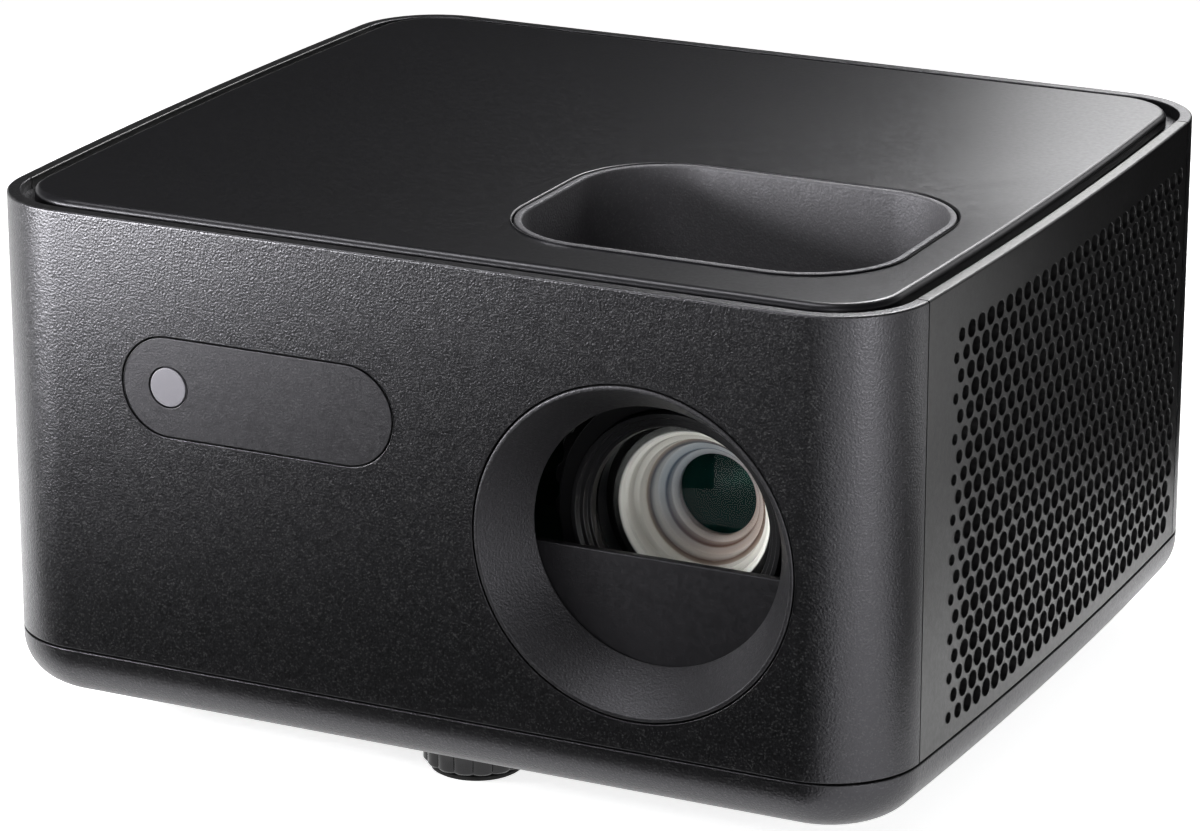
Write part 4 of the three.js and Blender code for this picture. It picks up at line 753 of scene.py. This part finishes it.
def pocket_cup():
    """The cup under the pocket's opening: flanged, drafted, and slotted over the two grip rings."""
    skin = Skin()
    inner = SEAM + CUP_WALL
    top = PLATE_TOP - 0.1
    profile = [(inner + CUP_DRAFT + a, CUP_FLOOR + d) for a, d in quarter(CUP_ROUND, 6)]
    profile += [(inner + EDGE * 0.6, top - EDGE * 2), (inner - EDGE * 0.3, top - EDGE * 0.6),
                (inner - EDGE, top), (SEAM + EDGE, top), (SEAM + 0.05, top - EDGE * 0.6),
                (SEAM, top - EDGE * 2), (SEAM, FLANGE_TOP), (-CUP_FLANGE, FLANGE_TOP),
                (-CUP_FLANGE, FLANGE_TOP - CUP_WALL),
                (SEAM, FLANGE_TOP - CUP_WALL), (SEAM + CUP_DRAFT + CUP_ROUND, CUP_FLOOR - CUP_WALL)]
    loops = [skin.add(pocket_loop(inset, z)) for inset, z in profile]
    skin.bands(loops)
    slot = box_ring(LENS_X, (SLOT_FRONT + SLOT_REAR) / 2, 2 * SLOT_HALF, SLOT_REAR - SLOT_FRONT,
                    SLOT_ROUND, 6)
    lips = [skin.add(Vector((x, y, CUP_FLOOR - down)) for x, y in slot(across))
            for across, down in lip_round(EDGE)]
    low = skin.add(Vector((x, y, CUP_FLOOR - CUP_WALL)) for x, y in slot(0))
    skin.bands(lips + [low])
    flat = plan(skin, loops[0] + lips[0])
    skin.sheets(flat, loops[0], [lips[0]], {**dict(zip(loops[0], loops[-1])), **dict(zip(lips[0], low))})
    return skin


# The cup takes the lighter copy of the spark finish, which is painted light on the pocket walls.
piece("pocket_cup", pocket_cup(), cup_spark_painted_light, ["pocket_liner"])


# ================= Lens =================
# Profiles of turned parts are (radius, depth behind the front face) corners.

def lathe(profile, origin=(LENS_X, LENS_Z), steps=ROUND, depth=FRONT_Y):
    """A body turned about the lens axis, or about another level axis, from its profile."""
    skin = Skin()
    turns = [2 * math.pi * k / steps for k in range(steps)]
    loops = []
    for radius, back in profile:
        if radius < 1e-6:
            loops.append(skin.add([Vector((origin[0], depth + back, origin[1]))]) * steps)
        else:
            loops.append(skin.add(Vector((origin[0] + radius * math.cos(turn), depth + back,
                                          origin[1] + radius * math.sin(turn))) for turn in turns))
    for near, far in zip(loops, loops[1:] + loops[:1]):
        for i in range(steps):
            j = (i + 1) % steps
            corners = [near[i], near[j], far[j], far[i]]
            unique = [c for k, c in enumerate(corners) if c not in corners[:k]]
            if len(unique) > 2:
                skin.faces.append(tuple(unique))
    return skin


def stacked(loops_at):
    """A closed body from loops of equal length, with a flat cap at each end."""
    skin = Skin()
    loops = [skin.add(points) for points in loops_at]
    skin.bands(loops)
    skin.cap(loops[0])
    skin.cap(loops[-1])
    return skin


def turned(corners, radius=0.2, steps=3):
    """A turned profile with every corner rounded, held within half of each edge."""
    count = len(corners)
    radii = []
    for i, here in enumerate(corners):
        before = Vector(corners[i - 1]) - Vector(here)
        after = Vector(corners[(i + 1) % count]) - Vector(here)
        half = before.angle(after) / 2
        room = 0.45 * min(before.length, after.length) * math.tan(half)
        radii.append(0 if here[0] < 1e-6 or half > math.radians(80) else min(radius, room))
    return filleted(corners, radii, steps)[0]


BEZEL_OUTER = OPENING - SEAM
lens_cone = [(BEZEL_OUTER, 0), (35.8, 0), (28.4, 13), (30.2, 13), (35.8, 4.5), (38.5, 4.5), (38.5, 2.7),
             (BEZEL_OUTER, 2.7)]
# The cone takes the lighter copy of the spark finish, which is painted light.
piece("lens_cone", lathe(turned(lens_cone, 0.35)), cone_spark_painted_light, ["lens_bezel"])

# The shelf behind the opening is the part of a disc that lies SHELF_DROP or more below the lens axis.
SHELF_RADIUS = 30.2
SHELF_DROP = 5.2
SHELF_FRONT = 13.3
SHELF_REAR = 15.3
SHELF_STEPS = 64


def half_moon(shrink, back):
    radius = SHELF_RADIUS - shrink
    slope = math.asin((SHELF_DROP + shrink) / radius)
    turns = [-slope - (math.pi - 2 * slope) * k / SHELF_STEPS for k in range(SHELF_STEPS + 1)]
    return [Vector((LENS_X + radius * math.cos(turn), FRONT_Y + back, LENS_Z + radius * math.sin(turn)))
            for turn in turns]


shelf = [(EDGE, SHELF_FRONT), (EDGE * 0.3, SHELF_FRONT + EDGE * 0.3), (0, SHELF_FRONT + EDGE),
         (0, SHELF_REAR - EDGE), (EDGE, SHELF_REAR)]
piece("lens_ledge", stacked([half_moon(*entry) for entry in shelf]), shelf_satin, ["lens_shelf"])

barrel = [(24.7, 24), (28.5, 24), (28.5, 29.7), (27.6, 29.7), (27.6, 44.3), (28.5, 44.3), (28.5, 49.1),
          (27.6, 49.1), (27.6, 61.7), (28.5, 61.7), (28.5, 67.4), (27.6, 73.4), (31.8, 73.4), (31.8, 79.4),
          (18, 79.4), (18, 61.4), (24.7, 61.4)]
piece("lens_tube", lathe(turned(barrel, 0.25)), anodised, ["lens_barrel"])

front_cell = [(24.4, 21.5), (23.4, 21.5), (23.0, 22.6), (22.0, 22.6), (21.7, 23.9), (20.9, 23.9),
              (20.5, 25.3), (20.5, 25.6), (21.1, 25.6), (21.1, 33), (24.4, 33)]
piece("front_cell", lathe(turned(front_cell, 0.16)), anodised, ["focus_cell"], "focus_cell")


def dome(radius, apex, sag, steps=14):
    sphere = (radius ** 2 + sag ** 2) / (2 * abs(sag))
    made = []
    for k in range(steps + 1):
        r = radius * k / steps
        made.append((r, apex + math.copysign(sphere - math.sqrt(sphere ** 2 - r ** 2), sag)))
    return made


def element(radius, apex, sag, edge, rear_sag):
    """A lens element's profile, from its front apex out to the edge and back in to its rear apex."""
    front = dome(radius, apex, sag)
    rear_edge = apex + sag + edge
    return front + dome(radius, rear_edge - rear_sag, rear_sag)[::-1]


piece("front_element", lathe(element(20.8, 23.5, 2.4, 2.1, 1.8)), clear_glass, ["front_glass"],
      "focus_cell")
# The glass casts no shadow, so that the lamps reach the rings behind it.
bpy.data.objects["front_element"].visible_shadow = False

inner_cell = [(19.1, 31.6), (17.5, 31.6), (16.9, 33.2), (16.2, 33.4), (15.8, 35.4), (14.6, 35.7),
              (14.2, 37.9), (13.0, 38.1), (12.5, 40.4), (10.9, 40.7), (10.4, 42.6), (9.1, 43.0), (8.9, 43.9),
              (9.5, 43.9), (9.5, 56), (24.4, 56), (24.4, 38.4), (19.1, 38.1)]
piece("inner_cell", lathe(turned(inner_cell, 0.22)), ringed, ["zoom_cell"], "zoom_cell")
piece("inner_element", lathe(element(9.2, 44.2, 0.875, 3.5, 0.44)), coated, ["rear_glass"],
      "zoom_cell")

RIBS = 26
RIB_SHAPE = (0, 0, 0.6, 1, 1, 1, 1, 0.6, 0, 0)
RIB_ROOT = 31.5
GRIP_BORE = 27.9


def lens_loop(radii, grow, back):
    """A loop about the lens axis, with one corner for each radius."""
    made = []
    for k, radius in enumerate(radii):
        turn = 2 * math.pi * k / len(radii)
        across, up = (radius + grow) * math.cos(turn), (radius + grow) * math.sin(turn)
        made.append(Vector((LENS_X + across, FRONT_Y + back, LENS_Z + up)))
    return made


def ribbed(front, width):
    """A grip ring with ribs along its length."""
    skin = Skin()
    rear = front + width
    ribs = [RIB_ROOT + height for height in RIB_SHAPE * RIBS]
    bore = [GRIP_BORE] * len(ribs)
    stack = [(bore, 0, front + EDGE), (bore, EDGE, front), (ribs, -EDGE, front), (ribs, 0, front + EDGE),
             (ribs, 0, rear - EDGE), (ribs, -EDGE, rear), (bore, EDGE, rear), (bore, 0, rear - EDGE)]
    loops = [skin.add(lens_loop(*entry)) for entry in stack]
    skin.bands(loops + [loops[0]])
    return skin


piece("focus_grip", ribbed(FOCUS_FRONT, FOCUS_WIDTH), anodised, ["focus_ring"], "focus_ring")
piece("zoom_grip", ribbed(ZOOM_FRONT, ZOOM_WIDTH), anodised, ["zoom_ring"], "zoom_ring")

# The lever stands on the middle of the zoom ring. Its rows are (inset, height above the lens axis).
lever_ring = box_ring(LENS_X, FRONT_Y + ZOOM_FRONT + ZOOM_WIDTH / 2, 6.0, 4.0, 1.0, 4)
lever_rows = [(0, 30.2), (0, 37.2), (0.25, 37.75), (0.8, 38.0)]
lever = stacked([Vector((x, y, LENS_Z + z)) for x, y in lever_ring(-inset)] for inset, z in lever_rows)
piece("zoom_lever", lever, anodised, [], "zoom_ring")


# ================= Sensor window =================

def plate(ring, front, thickness, openings=(), lip=EDGE):
    """A flat plate facing forwards (or backwards, if its thickness is negative), with lipped edges."""
    skin = Skin()
    side = math.copysign(1, thickness)

    def level(spots, depth):
        return skin.add(Vector((x, front + depth, z)) for x, z in spots)

    lips = [level(ring(-across), side * down) for across, down in lip_round(lip)]
    rear = level(ring(0), thickness)
    skin.bands(lips + [rear])
    flat = dict(zip(lips[0], ring(-lip)))
    twin = dict(zip(lips[0], rear))
    rings = []
    for hole in openings:
        edges = [level(hole(across), side * down) for across, down in lip_round(lip)]
        back = level(hole(0), thickness)
        skin.bands(edges + [back])
        flat.update(zip(edges[0], hole(lip)))
        twin.update(zip(edges[0], back))
        rings.append(edges[0])
    skin.sheets(flat, lips[0], rings, twin)
    return skin


WINDOW_THICKNESS = 2.0
DISC = centre("sensor_disc")
DISC_OPENING = 4.7
window_plate = merged_twins(box_ring(WINDOW.x, WINDOW.z, WINDOW_LENGTH - 2 * SEAM, WINDOW_HEIGHT - 2 * SEAM,
                                     WINDOW_HEIGHT / 2 - SEAM, WINDOW_STEPS))
disc_opening = circle_ring(DISC.x, DISC.z, DISC_OPENING, 48)
piece("sensor_plate", plate(window_plate, FRONT_Y, WINDOW_THICKNESS, [disc_opening], SEAM_LIP), window_satin,
      ["sensor_window"])
disc = [(0, 0.05), (4.4, 0.05), (4.4, WINDOW_THICKNESS), (0, WINDOW_THICKNESS)]
piece("sensor_lens", lathe(turned(disc, 0.25), (DISC.x, DISC.z), 64), diffuser, ["sensor_disc"])

# ================= Back =================
PORTS = [span("hdmi_socket_1"), span("hdmi_socket_2"), span("usb_socket")]
PORT_ROUND = 0.8
INLET = centre("power_inlet")
INLET_WIDTH = 24.0
INLET_HEIGHT = 16.4
INLET_ROUND = 2.0
BUTTON = centre("power_button")
BUTTON_HOLE = 6.3
BEZEL_THICKNESS = 1.5
port_openings = []
for low, high in PORTS:
    middle = (low + high) / 2
    port_openings.append(box_ring(middle.x, middle.z, high.x - low.x + 2 * FIT, high.z - low.z + 2 * FIT,
                                  PORT_ROUND, 4))
port_openings.append(box_ring(INLET.x, INLET.z, INLET_WIDTH, INLET_HEIGHT, INLET_ROUND, 6))
port_openings.append(circle_ring(BUTTON.x, BAY.z, BUTTON_HOLE, 64))
bay_plate = box_ring(BAY.x, BAY.z, BAY_WIDTH + 2 * WALL, BAY_HEIGHT + 2 * WALL, BAY_ROUND, BAY_STEPS)
piece("port_bezel", plate(bay_plate, PORTS_HIGH.y, -BEZEL_THICKNESS, port_openings), gloss, ["port_plate"])

# The button's profile is (radius, depth in front of its rear face) corners.
BUTTON_REAR = span("power_button")[1].y
button_profile = [(0, 0), (6.0, 0), (6.0, 2.8), (7.4, 2.8), (7.4, 4.2), (2, 4.2), (2, 7.2), (0, 7.2)]
button_points = [(radius, -depth) for radius, depth in turned(button_profile, 0.4)]
piece("button_cap", lathe(button_points, (BUTTON.x, BAY.z), 64, BUTTON_REAR), gloss, ["power_button"],
      "power_button")


# ================= Feet =================
KNOB_LOW = span("foot_knob")[0].z
KNOB_RADIUS = 12.0
KNOB_STEM = 22
PAD_LOW = -GROUND


def knob_loop(radius, depth, z, steps=192, flutes=16):
    """A round loop with shallow rounded flutes of the given depth."""
    made = []
    for k in range(steps):
        angle = 2 * math.pi * k / steps
        wave = abs(math.sin(angle * flutes / 2)) ** 0.7
        r = radius - depth * (1 - wave)
        made.append(Vector((FOOT.x + r * math.cos(angle), FOOT.y + r * math.sin(angle), z)))
    return made


# Rows of the knob and its pad are (radius, flute depth, height).
knob = [(KNOB_RADIUS - 1.2, 0.4, KNOB_LOW), (KNOB_RADIUS - 0.35, 0.7, KNOB_LOW + 0.25),
        (KNOB_RADIUS, 0.7, KNOB_LOW + 0.8), (KNOB_RADIUS, 0.7, KNOB_LOW + 4.7),
        (KNOB_RADIUS - 0.35, 0.7, KNOB_LOW + 5.2), (KNOB_RADIUS - 1.0, 0.4, KNOB_LOW + 5.4),
        (9.6, 0, KNOB_LOW + 5.4), (9.1, 0, KNOB_LOW + 5.7), (8.6, 0, -1.2), (8.2, 0, -0.5), (7.6, 0, -FIT),
        (4.2, 0, -FIT), (4.0, 0, 0.2), (4.0, 0, KNOB_LOW + KNOB_STEM)]
piece("foot_wheel", stacked([knob_loop(*row) for row in knob]), gloss, ["foot_knob"],
      "foot_knob")
pad = [(9.8, 0, PAD_LOW), (10.3, 0, PAD_LOW + 0.3), (10.4, 0, PAD_LOW + 0.7), (10.4, 0, PAD_LOW + 1.1),
       (10.0, 0, PAD_LOW + 1.4)]
piece("foot_pad_round", stacked([knob_loop(*row) for row in pad]), rubber, ["foot_pad"],
      "foot_pad")


def rear_foot(node):
    middle = centre(node)
    rows = [(8.2, PAD_LOW), (8.8, PAD_LOW + 0.25), (9.0, PAD_LOW + 0.9), (10.0, -FIT)]
    return stacked([hole_loop(middle.x, middle.y, radius, z, 64) for radius, z in rows])


piece("rear_foot_right", rear_foot("rear_right_foot"), rubber, ["rear_right_foot"])
piece("rear_foot_left", rear_foot("rear_left_foot"), rubber, ["rear_left_foot"])

# ================= Finishes of the pieces carried over from the frame =================
CARRIED = {
    cast: ("lens_mount", "light_engine", "heat_sink"),
    moulded: ("exhaust_fan_frame", "intake_fan_frame", "exhaust_fan_rotor", "intake_fan_rotor",
              "right_speaker", "left_speaker", "power_inlet"),
    board: ("main_board", "power_supply", "sensor_module", "button_board"),
    plated: ("hdmi_socket_1", "hdmi_socket_2", "usb_socket"),
    brass: ("foot_insert", "ceiling_insert_1", "ceiling_insert_2", "ceiling_insert_3", "ceiling_insert_4"),
}
for finish, names in CARRIED.items():
    for name in names:
        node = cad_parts[name]
        if not node.material_slots:
            node.data.materials.append(finish)
        for entry in node.material_slots:
            entry.material = finish

# ================= Camera =================
# The lens and the sensor are in millimetres, the direction in radians and the place in metres.
LENS_LENGTH = 145.15
SENSOR = 36.0
AZIMUTH = 0.452343
ELEVATION = 0.319330
CAMERA_AT = Vector((0.4571, -0.9488, 0.4084))
camera = bpy.data.objects.new("camera", bpy.data.cameras.new("camera"))
bpy.context.scene.collection.objects.link(camera)
camera.data.lens = LENS_LENGTH
camera.data.sensor_width = SENSOR
camera.data.clip_start = 0.05
back = Vector((math.sin(AZIMUTH) * math.cos(ELEVATION), -math.cos(AZIMUTH) * math.cos(ELEVATION),
               math.sin(ELEVATION)))
camera.matrix_world = Matrix.Translation(CAMERA_AT) @ back.to_track_quat("Z", "Y").to_matrix().to_4x4()
bpy.context.scene.camera = camera

# ================= Studio =================
# Lamps stand around this point: name, azimuth and elevation in degrees, distance, width and height in
# metres, radiance. Azimuth 0 is straight in front of the lens, and 90 is on the side of +X.
LAMP_AIM = Vector((0, 0, 0.06))
LAMPS = (
    ("lamp_low_front_left", -40, 8, 0.6, 0.30, 0.20, 48.0),
    ("lamp_low_front_right", 57, 5, 0.5, 0.08, 0.12, 15.0),
    ("lamp_front_right", 26, 25, 0.5, 0.16, 0.14, 2.0),
    ("lamp_edge_left", -48, 57, 0.5, 0.12, 0.12, 11.0),
    ("lamp_high_front", -18, 68, 0.5, 0.24, 0.16, 6.5),
    ("lamp_high_rear", -180, 50, 0.5, 0.14, 0.16, 23.0),
    ("lamp_low_rear", -180, 25, 0.5, 0.16, 0.14, 4.2),
    ("lamp_rear_right", 160, 22, 1.2, 0.4, 0.3, 1.7),
    ("lamp_low_right", 106, 0, 0.225, 0.10, 0.06, 1.6),
)
# Black sheets that the camera doesn't see, by their corners in metres. A gobo shades a lamp, and a card
# only shows in reflections.
GOBOS = {
    "gobo_front_left": ((-0.29, -0.13, 0.0), (-0.04, -0.38, 0.0), (-0.04, -0.38, 0.205)),
    "gobo_rear": ((-0.45, 0.29, 0.13), (0.10, 0.55, 0.13), (0.10, 0.55, 0.30), (-0.45, 0.29, 0.30)),
}
CARDS = {
    "card_front": ((-0.65, -0.75, 0.002), (0.18, -0.75, 0.002), (0.18, -0.26, 0.002), (0.09, -0.112, 0.002),
                   (-0.65, -0.112, 0.002)),
    "card_right": ((0.17, -0.07, 0.002), (0.45, -0.07, 0.002), (0.45, 0.10, 0.002), (0.17, 0.10, 0.002)),
    "card_front_far": ((-0.75, -0.45, 0.0), (0.15, -0.80, 0.0), (0.15, -0.80, 0.16), (-0.75, -0.45, 0.16)),
    "card_right_rear": ((0.02, 0.29, 0.0), (0.27, 0.04, 0.0), (0.27, 0.04, 0.15), (0.02, 0.29, 0.15)),
}
FLOOR_HALF = 12.0
FLOOR_GLOW = 0.8
# The surroundings are a pale band up to BAND_TOP degrees, and a dark room from ROOM_FROM degrees on.
BAND_LEVEL = 0.9
BAND_TOP = 8
ROOM_LEVEL = 0.08
ROOM_FROM = 17


def hidden_from_camera(obj):
    obj.visible_camera = False
    return obj


def lamp(name, azimuth, elevation, distance, width, height, radiance):
    turn, lift = math.radians(azimuth), math.radians(elevation)
    light = bpy.data.lights.new(name, "AREA")
    light.shape = "RECTANGLE"
    light.size = width
    light.size_y = height
    light.energy = radiance * math.pi * width * height
    obj = bpy.data.objects.new(name, light)
    bpy.context.scene.collection.objects.link(obj)
    away = Vector((math.sin(turn) * math.cos(lift), -math.cos(turn) * math.cos(lift), math.sin(lift)))
    obj.location = LAMP_AIM + distance * away
    obj.rotation_euler = away.to_track_quat("Z", "Y").to_euler()
    return hidden_from_camera(obj)


def plain_finish(name, colour, emission=0.0):
    """A matt finish. Its emission is what the camera and every reflection see of it."""
    finish = bpy.data.materials.new(name)
    finish.use_nodes = True
    tree = finish.node_tree
    shader = tree.nodes["Principled BSDF"]
    shader.inputs["Base Color"].default_value = (*colour, 1)
    shader.inputs["Roughness"].default_value = 0.9
    shader.inputs["Specular IOR Level"].default_value = 0.0
    if emission:
        shader.inputs["Emission Color"].default_value = (1, 1, 1, 1)
        tree.links.new(seen(tree, emission), shader.inputs["Emission Strength"])
    return finish


def seen(tree, level):
    """The level where a camera, glossy or transmission ray arrives, and nothing for other rays."""
    path = tree.nodes.new("ShaderNodeLightPath")
    total = path.outputs["Is Camera Ray"]
    for kind in ("Is Glossy Ray", "Is Transmission Ray"):
        add = tree.nodes.new("ShaderNodeMath")
        add.operation = "ADD"
        add.use_clamp = True
        tree.links.new(total, add.inputs[0])
        tree.links.new(path.outputs[kind], add.inputs[1])
        total = add.outputs[0]
    scale = tree.nodes.new("ShaderNodeMath")
    scale.operation = "MULTIPLY"
    scale.inputs[1].default_value = level
    tree.links.new(total, scale.inputs[0])
    return scale.outputs[0]


def stage_sheet(name, corners, finish):
    mesh = bpy.data.meshes.new(name)
    mesh.from_pydata(corners, [], [tuple(range(len(corners)))])
    sheet = bpy.data.objects.new(name, mesh)
    bpy.context.scene.collection.objects.link(sheet)
    mesh.materials.append(finish)
    return sheet


def surroundings():
    """A pale band around the horizon and a dark room above it."""
    world = bpy.data.worlds.new("studio")
    bpy.context.scene.world = world
    world.use_nodes = True
    tree = world.node_tree
    where = tree.nodes.new("ShaderNodeTexCoord")
    split = tree.nodes.new("ShaderNodeSeparateXYZ")
    tree.links.new(where.outputs["Generated"], split.inputs[0])
    fade = tree.nodes.new("ShaderNodeMapRange")
    fade.interpolation_type = "SMOOTHSTEP"
    fade.inputs["From Min"].default_value = math.sin(math.radians(BAND_TOP))
    fade.inputs["From Max"].default_value = math.sin(math.radians(ROOM_FROM))
    fade.inputs["To Min"].default_value = BAND_LEVEL
    fade.inputs["To Max"].default_value = ROOM_LEVEL
    tree.links.new(split.outputs["Z"], fade.inputs["Value"])
    tree.links.new(fade.outputs["Result"], tree.nodes["Background"].inputs["Strength"])
    tree.nodes["Background"].inputs["Color"].default_value = (1, 1, 1, 1)


def studio():
    corners = [(x * FLOOR_HALF, y * FLOOR_HALF, 0) for x, y in ((-1, -1), (1, -1), (1, 1), (-1, 1))]
    stage_sheet("floor", corners, plain_finish("floor_white", (0.9, 0.9, 0.9), FLOOR_GLOW))
    black = plain_finish("card_black", (0.01, 0.01, 0.01))
    for name, corners in GOBOS.items():
        hidden_from_camera(stage_sheet(name, corners, black))
    for name, corners in CARDS.items():
        card = hidden_from_camera(stage_sheet(name, corners, black))
        card.visible_diffuse = card.visible_transmission = card.visible_shadow = False
    for entry in LAMPS:
        lamp(*entry)
    surroundings()


studio()
bpy.context.scene.view_settings.view_transform = "Standard"
